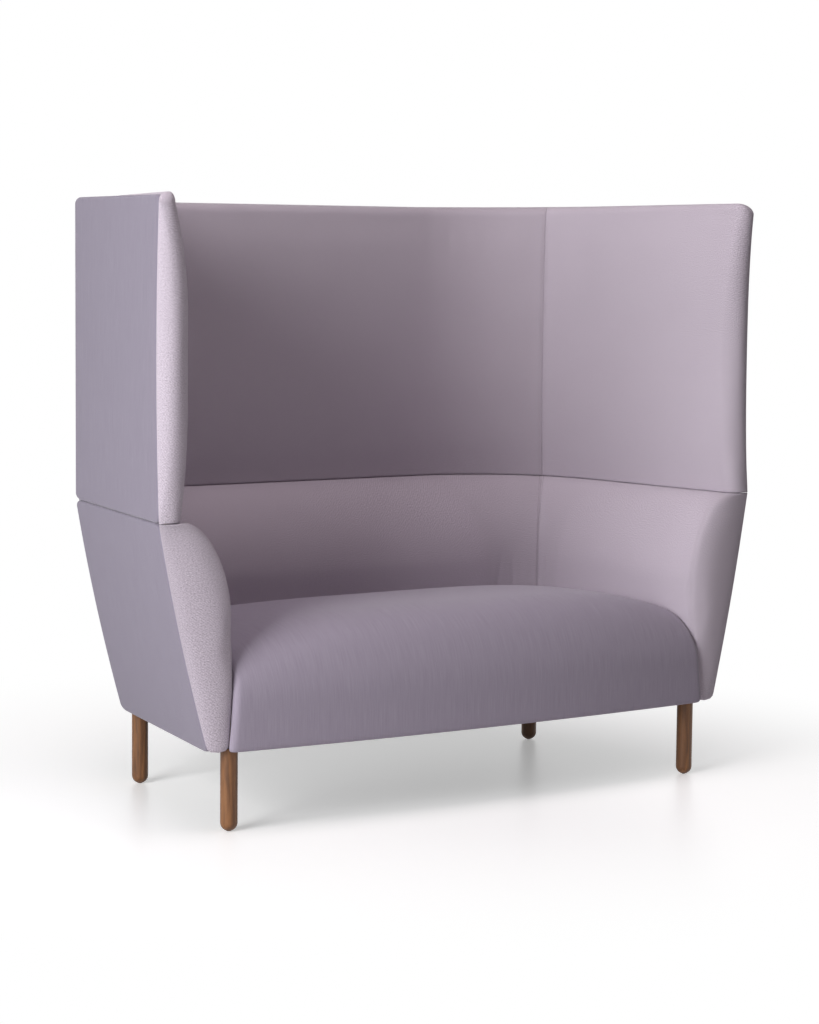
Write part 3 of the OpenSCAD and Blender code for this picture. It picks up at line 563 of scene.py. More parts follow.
sewing_thread()
pad_cloth("pad_fabric", (146, 135, 148), (200, 189, 202), (236, 229, 237))
# Darker copy of the pad cloth for the back covers: painted shade, darker than the wings and arms.
pad_cloth("pad_fabric_back", (138, 127, 140), (188, 177, 189), (226, 218, 227))
# Side panels and seat wear one ribbed cloth; the seat's copy is lighter, which is painted light on the
# seat.
ribbed_cloth("panel_fabric", (110, 103, 119), (140, 133, 149), (168, 161, 176))
ribbed_cloth("seat_fabric", (126, 118, 134), (159, 150, 166), (187, 179, 193))
walnut()
sawn_wood("timber", (176, 138, 92), (222, 190, 142), 0.006)
sawn_wood("plywood", (186, 152, 108), (230, 204, 162), 0.011)
worked_metal("steel", (118, 119, 122), (176, 177, 180), 3000.0, 0.25)
worked_metal("zinc_screws", (150, 152, 156), (206, 208, 212), 1200.0, 0.2)
glide_plastic()
strap_webbing()
open_foam()
dust_cloth()

# Objects, and the covers that are sewn from rings. A ring is a list of (place, along, up, held):
# its place, its two cloth coordinates, and how firmly it is held by a seam, tack or board.
SAME_POINT = 0.00005
SLIVER = 0.00002


def in_scene(name, data):
    made = bpy.data.objects.new(name, data)
    bpy.context.collection.objects.link(made)
    return made


def copied(piece, name, turn):
    """Copy of a piece with a mesh of its own, set in its place."""
    copy = in_scene(name, piece.data.copy())
    copy.data.transform(turn)
    return copy


def mirrored(piece, name):
    """Left-hand copy of a right-hand piece."""
    copy = copied(piece, name, Matrix.Scale(-1, 4, (1, 0, 0)))
    copy.data.flip_normals()
    return copy


def select_only(piece):
    bpy.ops.object.select_all(action="DESELECT")
    piece.select_set(True)
    bpy.context.view_layer.objects.active = piece


def sew(name, rings, closed_start=False):
    """Closed cover through the rings. The last is closed, the first too unless it is drawn to a line."""
    count = len(rings[0])
    points = [p for ring in rings for p in ring]
    faces = []
    for first in range(0, len(points) - count, count):
        for j in range(count):
            k = (j + 1) % count
            faces.append((first + j, first + k, first + count + k, first + count + j))
    for start in ([0] if closed_start else []) + [len(points) - count]:
        faces += [(start + j, start + j + 1, start + count - 2 - j, start + count - 1 - j)
                  for j in range(count // 2 - 1)]
    return cover_mesh(name, points, faces)


def cover_mesh(name, points, faces):
    """Mesh of a cover, with its cloth coordinates and how firmly each point is held."""
    mesh = bpy.data.meshes.new(name)
    mesh.from_pydata([p[0] for p in points], [], faces)
    piece = in_scene(name, mesh)
    layer = mesh.uv_layers.new(name="cloth")
    for loop in mesh.loops:
        layer.data[loop.index].uv = points[loop.vertex_index][1:3]
    group = piece.vertex_groups.new(name="held")
    for i, p in enumerate(points):
        if p[3] > 0:
            group.add([i], p[3], "REPLACE")
    shape = bmesh.new()
    shape.from_mesh(mesh)
    bmesh.ops.remove_doubles(shape, verts=shape.verts, dist=SAME_POINT)
    bmesh.ops.dissolve_degenerate(shape, edges=shape.edges, dist=SLIVER)
    bmesh.ops.recalc_face_normals(shape, faces=shape.faces)
    shape.to_mesh(mesh)
    shape.free()
    return piece


# Filling of the covers: how full a cover is, and how far its cloth may rise
PAD_FILL, PAD_SWELL = 0.85, 0.003
PANEL_FILL, PANEL_SWELL = 0.95, 0.001
SEAT_FILL, SEAT_SWELL = 0.8, 0.004
PUFF_FRAMES = 20
CLOTH_SETTINGS = {
    "quality": 4,
    "mass": 0.35,
    "tension_stiffness": 12,
    "compression_stiffness": 12,
    "shear_stiffness": 6,
    "bending_stiffness": 0.8,
    "shrink_min": 0.0,
    "use_pressure": True,
    "uniform_pressure_force": 4.0,
    "vertex_group_mass": "held",
}


def filled_cover(piece, swell):
    """Fills a cover as its foam does: cloth under pressure, still where it is held, then smoothed."""
    puff(piece, swell)
    select_only(piece)
    modifier = piece.modifiers.new("Subdivision", "SUBSURF")
    modifier.levels = modifier.render_levels = 1
    bpy.ops.object.modifier_apply(modifier=modifier.name)
    bpy.ops.object.shade_smooth()
    return piece


def puff(piece, swell):
    """Cloth simulation, whose moves are weighed by the slack of the cloth and capped at the swell."""
    select_only(piece)
    start = [vertex.co.copy() for vertex in piece.data.vertices]
    modifier = piece.modifiers.new("Cloth", "CLOTH")
    for name, value in CLOTH_SETTINGS.items():
        setattr(modifier.settings, name, value)
    modifier.settings.effector_weights.gravity = 0
    modifier.collision_settings.use_collision = False
    for number in range(1, PUFF_FRAMES + 1):
        bpy.context.scene.frame_set(number)
    bpy.ops.object.modifier_apply(modifier=modifier.name)
    bpy.context.scene.frame_set(1)
    for vertex, place in zip(piece.data.vertices, start):
        move = vertex.co - place
        slack = 1 - sum(group.weight for group in vertex.groups)
        if move.length > 0:
            vertex.co = place + move * (slack * swell * math.tanh(move.length / swell) / move.length)


def grip(*distances):
    """How firmly a point is held that lies at these distances from edges and seams."""
    return max(clamp(1 - distance / GRIP_RUN) for distance in distances) ** 2


def gripped(rings, low, high):
    """Rings held more firmly towards their foot and their head."""
    return [[(place, along, up, max(held, grip(place.z - low, high - place.z)))
             for place, along, up, held in ring] for ring in rings]


def seam_past(distance):
    """Distance of a station from the cloth that a seam holds, or far away where it has none."""
    return GRIP_RUN if distance is None else distance - SEAM_HELD


def seam_dip(distance):
    """How far the cloth is drawn down near a twin-needle seam."""
    if distance is None:
        return 0.0
    at_join = SEAM_DIP * math.exp(-(distance / SEAM_DIP_RUN) ** 2)
    return at_join + STITCH_DIP * math.exp(-((distance - STITCH_OFFSET) / STITCH_DIP_RUN) ** 2)


def station_length(u, inset, first):
    """Length of cloth along the inner face up to station u, from the rolled front on."""
    start = NOSE_CLOTH + arc_start(inset, INNER_BACK_Y, SCREEN_R)
    if u <= 1:
        return mix(NOSE_CLOTH + first, start, u)
    if u <= 2:
        return start + (u - 1) * SEAM_ARC
    return start + SEAM_ARC + (u - 2) * arc_centre(inset, INNER_BACK_Y, SCREEN_R).x


# Numbers of stations along the side, round to the seam, round from it and across the back
SIDE_STATIONS = 50
TO_SEAM_STATIONS = 4
FROM_SEAM_STATIONS = 22
BACK_STATIONS = 38


def seam_stations():
    """Stations from the front edge to the twin-needle seam, close together near it: (u, distance)."""
    plain = steps(0, 1, SIDE_STATIONS)[:-1] + steps(1, SEAM_U - SEAM_NEAR, TO_SEAM_STATIONS)[:-1]
    near = [(SEAM_U - distance / SEAM_ARC, distance) for distance in SEAM_DISTANCES[::-1]]
    return [(u, None) for u in plain] + near + [(SEAM_U - SEAM_HALF_GAP / SEAM_ARC, 0.0)]


def back_stations():
    """Stations from the seam to the centre line: (u, distance)."""
    near = [(SEAM_U + distance / SEAM_ARC, distance) for distance in SEAM_DISTANCES]
    plain = steps(SEAM_U + SEAM_NEAR, 2, FROM_SEAM_STATIONS)[1:] + steps(2, 3, BACK_STATIONS)[1:]
    return [(SEAM_U + SEAM_HALF_GAP / SEAM_ARC, 0.0)] + near + [(u, None) for u in plain]


def screen_ring(u, first_inner, first_outer, distance=None):
    """Ring of a screen pad at plan station u, behind the front edge of the panel."""
    face = screen_face(u)
    crest = screen_crest(face, LAP, LAP_DROP)
    along = station_length(u, WING_T, first_inner)
    low, high = SCREEN_FOOT + FOOT_R, face[-1][1] - HEAD_R
    inner = []
    for k, ((inset, z), up) in enumerate(zip(face + crest, lengths(face + crest))):
        held = grip(z - low, high - z, seam_past(distance)) if k < len(face) else 1.0
        inner.append((screen_spot(u, inset - seam_dip(distance), z, first_inner), along, up, held))
    outer = [(shell_spot(u, inset, z, first_outer), along, inner[-1][2], 1.0)
             for inset, z in screen_hidden(face, crest)]
    return outer + inner[-2::-1]


def lower_ring(u, first_inner, first_outer, distance=None):
    """Ring of a lower pad at plan station u, which stops at the frame."""
    levels = swell_levels(PAD_FOOT)
    ups = lower_lengths(levels)
    along = station_length(u, WING_T, first_inner)
    inner, outer = [], []
    for (z, swell), up in zip(levels, ups):
        held = grip(z - PAD_FOOT - FOOT_R, ups[-1] - up, seam_past(distance))
        inner.append((lower_spot(u, z, swell, seam_dip(distance), first_inner), along, up, held))
        hidden = shell_spot(u, BOARD_OUT + 2 * SOFT_GAP + draw_in(z), z, first_outer)
        outer.append((hidden, along, up, 1.0))
    return outer + inner[::-1]


def lower_lengths(levels):
    """Length of cloth from the foot of a lower pad up to each level."""
    return lengths([(WING_T + ARM_CLOTH_SWELL * swell, z) for z, swell in levels])


# Wings and arms share one way of rolling their front edge
def quarter(across, forward):
    """Length of a quarter of an oval, near enough for cloth."""
    return math.pi / 2 * math.hypot(across, forward) / math.sqrt(2)


def rolled_front(ring, line):
    """Rings that draw a front ring (inset, height, run, up, held) in to a line (inset, height)."""
    half = len(line)
    rings = []
    for a in angles(NOSE_RINGS, 90, 0):
        turn, reach = 1 - math.cos(a), math.sin(a)
        share = 2 * a / math.pi
        row = []
        for k, (inset, height, run, up, held) in enumerate(ring):
            level = min(k, len(ring) - 1 - k, half - 1)
            line_inset, line_height = line[level]
            inner = ring[len(ring) - 1 - level]
            at_line = NOSE_CLOTH + inner[2] - quarter(inner[0] - line_inset, inner[2] + NOSE_OUT)
            if k < half:
                along = at_line - (1 - share) * quarter(line_inset - inset, NOSE_OUT + run)
            else:
                along = mix(NOSE_CLOTH + run, at_line, share)
            place = side_spot(mix(run, -NOSE_OUT, reach), mix(inset, line_inset, turn),
                              mix(height, line_height, turn))
            row.append((place, along, up, 0.0 if a else held))
        rings.append(row)
    return rings


def tuck_ring(ring):
    """The front ring turned in behind the edge of the side panel."""
    row = []
    for inset, height, run, up, held in ring:
        behind = 0.0 if held else BEHIND_ROLL / 2
        if held:
            place = side_spot(run + NOSE_START - PANEL_CLEAR, inset + 2 * PANEL_CLEAR, height)
        else:
            place = side_spot(run + behind, inset, height)
        row.append((place, NOSE_CLOTH + run + behind, up, held))
    return row


def front_rings(ring, line, one_ring, roll_depth):
    """Rings of a wing or an arm: its rolled front, and its body back to the seam."""
    body = [one_ring(u, roll_depth + BEHIND_ROLL, -SOFT_GAP, distance) for u, distance in seam_stations()]
    return rolled_front(ring, line) + [tuck_ring(ring)] + body


def wing_rings():
    """Rings of a right wing, up to the seam in the corner."""
    face = screen_face(0)
    crest = screen_crest(face, PANEL_CLEAR, HEAD_R)[:-1]
    ups = lengths(face)
    shares = [(z - face[0][1]) / (face[-1][1] - face[0][1]) for _, z in face]
    ring = []
    for share, up in zip(shares, ups):
        z = mix(SCREEN_FOOT, CREST_Z - HEAD_R, share)
        run = bow_at(z, SCREEN_FOOT, SCREEN_TOP, FRONT_BOW) - NOSE_START
        ring.append((PANEL_CLEAR, z, run, up, 1.0))
    for k, (inset, z) in reversed(list(enumerate(crest))):
        run = mix(-NOSE_START, WING_ROLL_DEPTH, 1 - (k + 1) / (len(crest) + 1))
        ring.append((inset, z, run, ups[-1] + face[-1][0] - inset, 0.0))
    ring += [(inset, z, WING_ROLL_DEPTH, up, 0.0) for (inset, z), up in zip(face[::-1], ups[::-1])]
    low, high = SCREEN_FOOT + NOSE_FOOT_ROUND, CREST_Z - NOSE_TOP_ROUND
    line = [(mix(PANEL_CLEAR, inset, NOSE_LINE_SHARE), mix(low, high, share))
            for (inset, _), share in zip(face, shares)]
    return front_rings(ring, line, screen_ring, WING_ROLL_DEPTH)


def arm_rings():
    """Rings of a right arm: the front reaches down to the underside, the rest stops at the frame."""
    levels = swell_levels(SKIRT_Z)
    outer, inner = [], []
    for (z, swell), up in zip(levels, lower_lengths(levels)):
        edge = draw_in(z) - outer_crown(z) + PANEL_CLEAR
        face = WING_T + ARM_SWELL * swell - ARM_FOOT_IN * ease(z - SKIRT_Z)
        reach = ARM_ROLL_DEPTH * min(max((z - PAD_FOOT) / (SEAT_EDGE_Z - PAD_FOOT), ARM_ROLL_LEAST), 1)
        outer.append((edge, z, -NOSE_START, up, 1.0))
        inner.append((face, z, reach, up, 0.0))
    low, high = SKIRT_Z + ARM_BOTTOM_ROUND, LOWER_TOP - ARM_TOP_ROUND
    line = [(mix(a[0], b[0], NOSE_LINE_SHARE), mix(low, high, (a[1] - SKIRT_Z) / (LOWER_TOP - SKIRT_Z)))
            for a, b in zip(outer, inner)]
    return front_rings(outer + inner[::-1], line, lower_ring, ARM_ROLL_DEPTH)


def mirrored_ring(ring):
    """Left-hand ring, whose cloth runs on from the right-hand one over the centre line."""
    whole = 2 * station_length(3, WING_T, 0.0)
    return [(Vector((-place.x, place.y, place.z)), whole - along, up, held)
            for place, along, up, held in ring]


def both_sides(name, right):
    """Cover of a back, from its rings on the right of the centre line."""
    return sew(name, right + [mirrored_ring(ring) for ring in right[-2::-1]], closed_start=True)


def back_cover(name, one_ring, roll_depth):
    """Back of a storey, from seam to seam."""
    return both_sides(name, [one_ring(u, roll_depth, 0.0, distance) for u, distance in back_stations()])


# Covers that start from an upper grid, with loops round its border and a flat base
def upholster(name, grid, loops):
    """Grid of points (place, along, up, held), loops of as many points as its border, and a base."""
    rows, columns = len(grid), len(grid[0])
    points = [p for row in grid for p in row]
    faces = [(j * columns + i, j * columns + i + 1, (j + 1) * columns + i + 1, (j + 1) * columns + i)
             for j in range(rows - 1) for i in range(columns - 1)]
    edge = border(rows, columns)
    for loop in loops:
        first = len(points)
        points += loop
        ring = list(range(first, first + len(loop)))
        faces += [(edge[k], edge[k - 1], ring[k - 1], ring[k]) for k in range(len(ring))]
        edge = ring
    inside = len(points)
    points += filled(loops[-1], rows, columns)
    base = [[0] * columns for _ in range(rows)]
    for k, place in zip(edge, border(rows, columns)):
        base[place // columns][place % columns] = k
    for j in range(1, rows - 1):
        for i in range(1, columns - 1):
            base[j][i] = inside + (j - 1) * (columns - 2) + i - 1
    faces += [(base[j][i], base[j + 1][i], base[j + 1][i + 1], base[j][i + 1])
              for j in range(rows - 1) for i in range(columns - 1)]
    return cover_mesh(name, points, faces)


def filled(loop, rows, columns):
    """Points inside a loop, each blended from the four sides of the grid that it closes."""
    near, right = loop[:columns], loop[columns - 1:columns + rows - 1]
    far = loop[columns + rows - 2:2 * columns + rows - 2][::-1]
    left = [loop[0]] + loop[2 * columns + rows - 2:][::-1] + [far[0]]
    points = []
    for j in range(1, rows - 1):
        v = j / (rows - 1)
        for i in range(1, columns - 1):
            u = i / (columns - 1)
            corners = mix(mix(near[0][0], near[-1][0], u), mix(far[0][0], far[-1][0], u), v)
            place = mix(near[i][0], far[i][0], v) + mix(left[j][0], right[j][0], u) - corners
            points.append((place, near[i][1], left[j][2], 1.0))
    return points


def border(rows, columns):
    """Places of the border of a grid in its list of points, all the way round."""
    return ([i for i in range(columns)] + [j * columns + columns - 1 for j in range(1, rows)]
            + [(rows - 1) * columns + i for i in range(columns - 2, -1, -1)]
            + [j * columns for j in range(rows - 2, 0, -1)])


def border_of(grid):
    columns = len(grid[0])
    return [grid[k // columns][k % columns] for k in border(len(grid), columns)]


# Seat
SEAT_CREST_Z = 0.450
SEAT_BOW = 0.030
SEAT_CREST_DEPTH = 0.225
SEAT_FRONT_R = 0.020
SEAT_EDGE_R = 0.014
SEAT_FOOT_R = 0.012
ROLL_DEPTH = 0.150
ROLL_FOOT_Z = 0.268
ROLL_POWER = 2.2
CROWN_POWER = 4
SEAT_INSET = WING_T + ARM_SWELL + SOFT_GAP
SEAT_REAR_Y = INNER_BACK_Y - BACK_SWELL - SOFT_GAP
SEAT_FRONT_Y = cad_low.y
SEAT_CREST_Y = SEAT_FRONT_Y + SEAT_CREST_DEPTH
SEAT_ARC_R = SEAT_R - SOFT_GAP
SEAT_ARC = arc_centre(SEAT_INSET, SEAT_REAR_Y, SEAT_ARC_R)
SEAT_END_X = side_x_at(SEAT_FRONT_Y + SEAT_BOW, SEAT_INSET)
SEAT_INNER_X = SEAT_END_X - SEAT_FRONT_R
WALL_Y = -0.3923
WALL_INSET = 0.040
WALL_SHARE = (SEAT_END_X - WALL_INSET) / SEAT_END_X
WALL_STEPS = 8
SKIRT_SPREAD = 0.017
SKIRT_FADE = 0.020
SEAT_WALL_FOOT = PAD_FOOT + SOFT_GAP
FOAM_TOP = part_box("seat_foam")[1].z + 2 * SOFT_GAP
SEAT_COLUMNS = 54
CORNER_COLUMNS = 5
ROLL_ROWS = 20
MIDDLE_ROWS = 24
REAR_ROWS = 14


def seat_half_width(y):
    if y <= SEAT_ARC.y:
        return side_x_at(y, SEAT_INSET)
    rise = min(y - SEAT_ARC.y, SEAT_ARC_R)
    return min(side_x_at(SEAT_ARC.y, SEAT_INSET), SEAT_ARC.x + math.sqrt(SEAT_ARC_R ** 2 - rise ** 2))


def seat_front_at(x):
    """Front of the seat at a place across it, with the rounding of its upright corners."""
    past = clamp((abs(x) - SEAT_INNER_X) / SEAT_FRONT_R)
    bowed = SEAT_FRONT_Y + SEAT_BOW * (min(abs(x), SEAT_INNER_X) / SEAT_END_X) ** 2
    return bowed + SEAT_FRONT_R * (1 - math.sqrt(1 - past ** 2))


def seat_depths(front_y):
    """Depths of the rows of the seat: over the roll, along the sides and round the rear corners."""
    power = 2 / ROLL_POWER
    depths = [front_y + ROLL_DEPTH * (1 - math.cos(a) ** power) for a in angles(ROLL_ROWS)[:-1]]
    depths += steps(front_y + ROLL_DEPTH, SEAT_ARC.y, MIDDLE_ROWS)
    return depths + [SEAT_ARC.y + SEAT_ARC_R * math.sin(a) for a in angles(REAR_ROWS)[1:]]


def skirt_spread(x, y, z):
    """Place across the seat, spread where its skirt stands before the drawn-in feet of the arms."""
    return x * (1 + clamp((WALL_Y - y) / SKIRT_FADE) * SKIRT_SPREAD * ease(z - SKIRT_Z) / SEAT_END_X)


def seat_point(share, y, front_y):
    """Point on the top of the seat: crowned, rolled at the front and rounded at its edges."""
    half = seat_half_width(y)
    x = share * half
    crown = max(0.0, 1 - abs(x / half) ** CROWN_POWER)
    fall = 1 - clamp((y - SEAT_CREST_Y) / (SEAT_REAR_Y - SEAT_CREST_Y)) ** 2
    top = SEAT_EDGE_Z + (SEAT_CREST_Z - SEAT_EDGE_Z) * crown * fall
    rise = (1 - (1 - clamp((y - front_y) / ROLL_DEPTH)) ** ROLL_POWER) ** (1 / ROLL_POWER)
    drop = quarter_round(min(half - abs(x), SEAT_REAR_Y - y), SEAT_EDGE_R)
    z = ROLL_FOOT_Z + (top - ROLL_FOOT_Z) * rise - drop * rise
    return Vector((skirt_spread(x, y, z), y, z))


def seat_cover():
    """Crowned seat: ribs run from back to front, over the roll and down to the underside."""
    half = steps(0, SEAT_INNER_X / SEAT_END_X, SEAT_COLUMNS)
    half += [(SEAT_INNER_X + SEAT_FRONT_R * math.sin(a)) / SEAT_END_X for a in angles(CORNER_COLUMNS)[1:]]
    columns = []
    for share in [-f for f in half[:0:-1]] + half:
        front_y = seat_front_at(share * SEAT_END_X)
        columns.append([seat_point(share, y, front_y) for y in seat_depths(front_y)])
    ups = lengths(columns[len(columns) // 2])
    grid = [[(p, p.x, up, seat_grip(p)) for p in row] for row, up in zip(zip(*columns), ups)]
    edge = border_of(grid)
    walls = [[wall_point(point, step / WALL_STEPS) for point in edge] for step in range(1, WALL_STEPS + 1)]
    hollow = [[hollow_point(point, *ends) for point in edge]
              for ends in ((SKIRT_Z, SEAT_WALL_FOOT), (FOAM_TOP, FOAM_TOP))]
    return upholster("seat_cover", grid, walls + hollow)


def seat_grip(p):
    return grip(seat_half_width(p.y) - abs(p.x), p.z - ROLL_FOOT_Z, SEAT_REAR_Y - p.y)


def wall_point(point, share):
    """Point under the border: at the front down to the underside, at the sides down to the frame."""
    place, along, up, _ = point
    if place.y >= WALL_Y:
        return (raised(place, mix(place.z, SEAT_WALL_FOOT, share)), along, up, 1.0)
    a = math.pi / 2 * max(0.0, 2 * share - 1)
    z = mix(place.z, SKIRT_Z + SEAT_FOOT_R, min(1, 2 * share)) - SEAT_FOOT_R * math.sin(a)
    tuck = SEAT_FOOT_R * (1 - math.cos(a)) / (WALL_Y - SEAT_FRONT_Y)
    plan = mix(Vector(place[:2]), Vector((place.x * WALL_SHARE, WALL_Y)), tuck)
    plan.x = skirt_spread(plan.x, plan.y, z) - skirt_spread(plan.x, plan.y, place.z) + plan.x
    return (raised(plan, z), plan.x, up - (place.z - z), 1.0)


def hollow_point(point, front_z, side_z):
    """Point of the hollow over the frame and the foam, behind the wall."""
    place, along, up, _ = point
    if place.y < WALL_Y:
        return (Vector((place.x * WALL_SHARE, WALL_Y, front_z)), along, up, 1.0)
    plan = Vector(place[:2])
    centre = Vector((0, (SEAT_FRONT_Y + SEAT_REAR_Y) / 2))
    return (raised(plan + (centre - plan).normalized() * WALL_INSET, side_z), along, up, 1.0)


# Outer side panels. Behind the face, their border goes round these loops of (depth, way in).
PANEL_PAST_CORNER = 0.009
PANEL_RUN = arc_start(0.0, BACK_Y, CORNER_R) + PANEL_PAST_CORNER
PANEL_EDGE_R = 0.006
PANEL_CORNER_R = 0.022
PANEL_STEP = 0.014
PANEL_LOOPS = ((0.012, 0.0), (PANEL_T - 0.003, 0.0), (PANEL_T - 0.0004, 0.002))
EDGE_STEPS = [0.0, 0.0006, 0.0018, 0.0035, 0.006, 0.010]


def edge_spaced(length):
    """Even steps with closer ones at both ends."""
    inner = steps(EDGE_STEPS[-1], length - EDGE_STEPS[-1], round(length / PANEL_STEP))
    return EDGE_STEPS[:-1] + inner + [length - e for e in EDGE_STEPS[-2::-1]]


def side_panel_cover(name, low, high, bow):
    """Side panel of a storey: a board of cloth, rounded at its edges and its corners."""
    def spot(run, z, depth):
        reach = run + bow_at(z, low, high, bow) * (1 - run / PANEL_RUN)
        return side_spot(reach, depth - outer_crown(z) * (1 - depth / PANEL_T) + draw_in(z), z)

    grid = []
    for up in edge_spaced(high - low):
        row = []
        for run in edge_spaced(PANEL_RUN):
            inside = quarter_round(min(run, PANEL_RUN - run), PANEL_CORNER_R)
            z = mix(low + inside, high - inside, up / (high - low))
            edge = min(run, PANEL_RUN - run, z - low - inside, high - inside - z)
            depth = quarter_round(edge, PANEL_EDGE_R)
            row.append((spot(run, z, depth), run, z, grip(edge - PANEL_EDGE_R)))
        grid.append(row)
    loops = []
    for depth, inward in PANEL_LOOPS:
        pull = 1 - inward / (PANEL_RUN / 2)
        loop = []
        for _, run, z, _ in border_of(grid):
            place = spot(mix(PANEL_RUN / 2, run, pull), mix((low + high) / 2, z, pull), depth)
            loop.append((place, run, z, 1.0))
        loops.append(loop)
    return upholster(name, grid, loops)


# Outer back panels, thinner towards their ends, which go behind the side panels
PANEL_START_U = 1.035
THIN_SHARE = 0.9
THIN_FROM_U = 1.55
THIN_RUN_U = 0.35
BACK_EDGE_R = 0.007
BACK_EDGE_SHARE = 0.8
BACK_LEVELS = {"screen": 48, "lower": 34}
BACK_CORNER_STEPS = 34
BACK_STRAIGHT_STEPS = 30


def end_thin(u):
    share = clamp((THIN_FROM_U - u) / THIN_RUN_U)
    return THIN_SHARE * share * share * (3 - 2 * share)


def back_panel_ring(u, low, high, levels):
    """Ring of an outer back panel at plan station u."""
    thin = end_thin(u)
    outer_t = thin * PANEL_T
    radius = min(BACK_EDGE_R, (PANEL_T - outer_t) * BACK_EDGE_SHARE)
    rounds = [(radius * (1 - math.sin(a)), radius * (1 - math.cos(a))) for a in angles(ROUND_STEPS)]
    outer = [(outer_t + a, low + b) for a, b in rounds]
    outer += [(outer_t, z) for z in steps(low + radius, high - radius, levels)[1:-1]]
    outer += [(outer_t + b, high - a) for a, b in rounds]
    along = station_length(u, 0.0, 0.0)
    ring = []
    for inset, z in outer:
        crown = outer_crown(z) * (1 - thin) * (1 - (inset - outer_t) / PANEL_T)
        held = grip(z - low - radius, high - radius - z)
        ring.append((shell_spot(u, inset - crown + draw_in(z), z), along, z, held))
    back = [(shell_spot(u, PANEL_T - SOFT_GAP + draw_in(z), z), along, z, 1.0)
            for z in steps(low, high, len(outer) - 1)]
    return ring + back[::-1]


def back_panel_cover(name, low, high, levels):
    """Outer back panel of a storey."""
    stations = steps(PANEL_START_U, 2, BACK_CORNER_STEPS) + steps(2, 3, BACK_STRAIGHT_STEPS)[1:]
    right = [back_panel_ring(u, low, high, levels) for u in stations]
    right[0] = [(place, along, up, 1.0) for place, along, up, _ in right[0]]
    return both_sides(name, right)


# Rigid pieces, shaped as by hand
def pick(kind, test):
    """Selects the vertices, edges or faces of the piece in edit mode whose middle passes a test."""
    piece = bpy.context.edit_object
    shape = bmesh.from_edit_mesh(piece.data)
    bpy.ops.mesh.select_all(action="DESELECT")
    for part in getattr(shape, kind):
        corners = [part] if kind == "verts" else part.verts
        middle = sum((corner.co for corner in corners), Vector()) / len(corners)
        part.select_set(test(piece.matrix_world @ middle))
    shape.select_flush_mode()
    bmesh.update_edit_mesh(piece.data)


def started(add, **options):
    """A basic shape, in edit mode."""
    bpy.ops.object.select_all(action="DESELECT")
    add(**options)
    bpy.ops.object.mode_set(mode="EDIT")
    return bpy.context.object


def cut(place, way, **options):
    """Cuts all of the piece in edit mode by a plane."""
    bpy.ops.mesh.select_all(action="SELECT")
    bpy.ops.mesh.bisect(plane_co=place, plane_no=way, **options)


def pull_up(height):
    bpy.ops.mesh.extrude_region_move(TRANSFORM_OT_translate={"value": (0, 0, height)})


def joined(pieces, name):
    select_only(pieces[0])
    for piece in pieces:
        piece.select_set(True)
    bpy.ops.object.join()
    pieces[0].name = pieces[0].data.name = name
    return pieces[0]


def fit_out(piece, slot, *nodes, finish=None):
    """Gives a piece its finish, its body and the solids that it stands for."""
    piece.data.materials.clear()
    piece.data.materials.append(finishes[finish or slot])
    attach(piece, BODY)
    if nodes:
        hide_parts(*nodes)


def dress(piece, slot, node, finish=None):
    fit_out(piece, slot, node, finish=finish)


def even_places(path, pitch):
    """Places at an even pitch along a line of points, each with the way it goes there."""
    places, ahead = [], pitch / 2
    for start, end in zip(path, path[1:]):
        length = (end - start).length
        while ahead < length:
            places.append((start.lerp(end, ahead / length), (end - start).normalized()))
            ahead += pitch
        ahead -= length
    return places


# Legs
LEG_FLAT_R = 0.0055
LEG_SEGMENTS = 48
LEG_RINGS = 24
LEG_SOFT_EDGE = 0.0008
LEG_SMOOTH = math.radians(40)


def turned_leg(name, node):
    """Turned leg: a round foot, cut flat for its glide, and a straight shank up to its plate."""
    low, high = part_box(node)
    middle = (low + high) / 2
    radius = (high.x - low.x) / 2
    foot_z = low.z + math.sqrt(radius ** 2 - LEG_FLAT_R ** 2)
    leg = started(bpy.ops.mesh.primitive_uv_sphere_add, segments=LEG_SEGMENTS, ring_count=LEG_RINGS,
                  radius=radius, location=(middle.x, middle.y, foot_z))
    leg.name = leg.data.name = name
    cut((middle.x, middle.y, foot_z), (0, 0, 1), clear_outer=True)
    cut((middle.x, middle.y, low.z), (0, 0, 1), clear_inner=True, use_fill=True)
    pick("verts", lambda place: place.z > foot_z - SOFT_GAP)
    pull_up(high.z - foot_z - LEG_SOFT_EDGE)
    pull_up(LEG_SOFT_EDGE)
    share = 1 - LEG_SOFT_EDGE / radius
    bpy.ops.transform.resize(value=(share, share, 1), center_override=(middle.x, middle.y, high.z))
    bpy.ops.mesh.edge_face_add()
    bpy.ops.mesh.select_all(action="SELECT")
    bpy.ops.mesh.normals_make_consistent(inside=False)
    bpy.ops.object.mode_set(mode="OBJECT")
    bpy.ops.object.shade_smooth_by_angle(angle=LEG_SMOOTH)
    bpy.ops.object.transform_apply(location=True, rotation=True, scale=True)
    return leg


def make_legs():
    first = turned_leg("turned_leg_front_right", "leg_front_right")
    fit_out(first, "walnut", "leg_front_right")
    first_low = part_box("leg_front_right")[0]
    for place in ("front_left", "back_left", "back_right"):
        move = Matrix.Translation(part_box("leg_" + place)[0] - first_low)
        fit_out(copied(first, "turned_leg_" + place, move), "walnut", "leg_" + place)


# Staples that hold the dust cover
STAPLE_W = 0.010
STAPLE_WIRE = 0.0009
STAPLE_IN = 0.009
STAPLE_PITCH = 0.045
STAPLE_CORNER_STEPS = 12


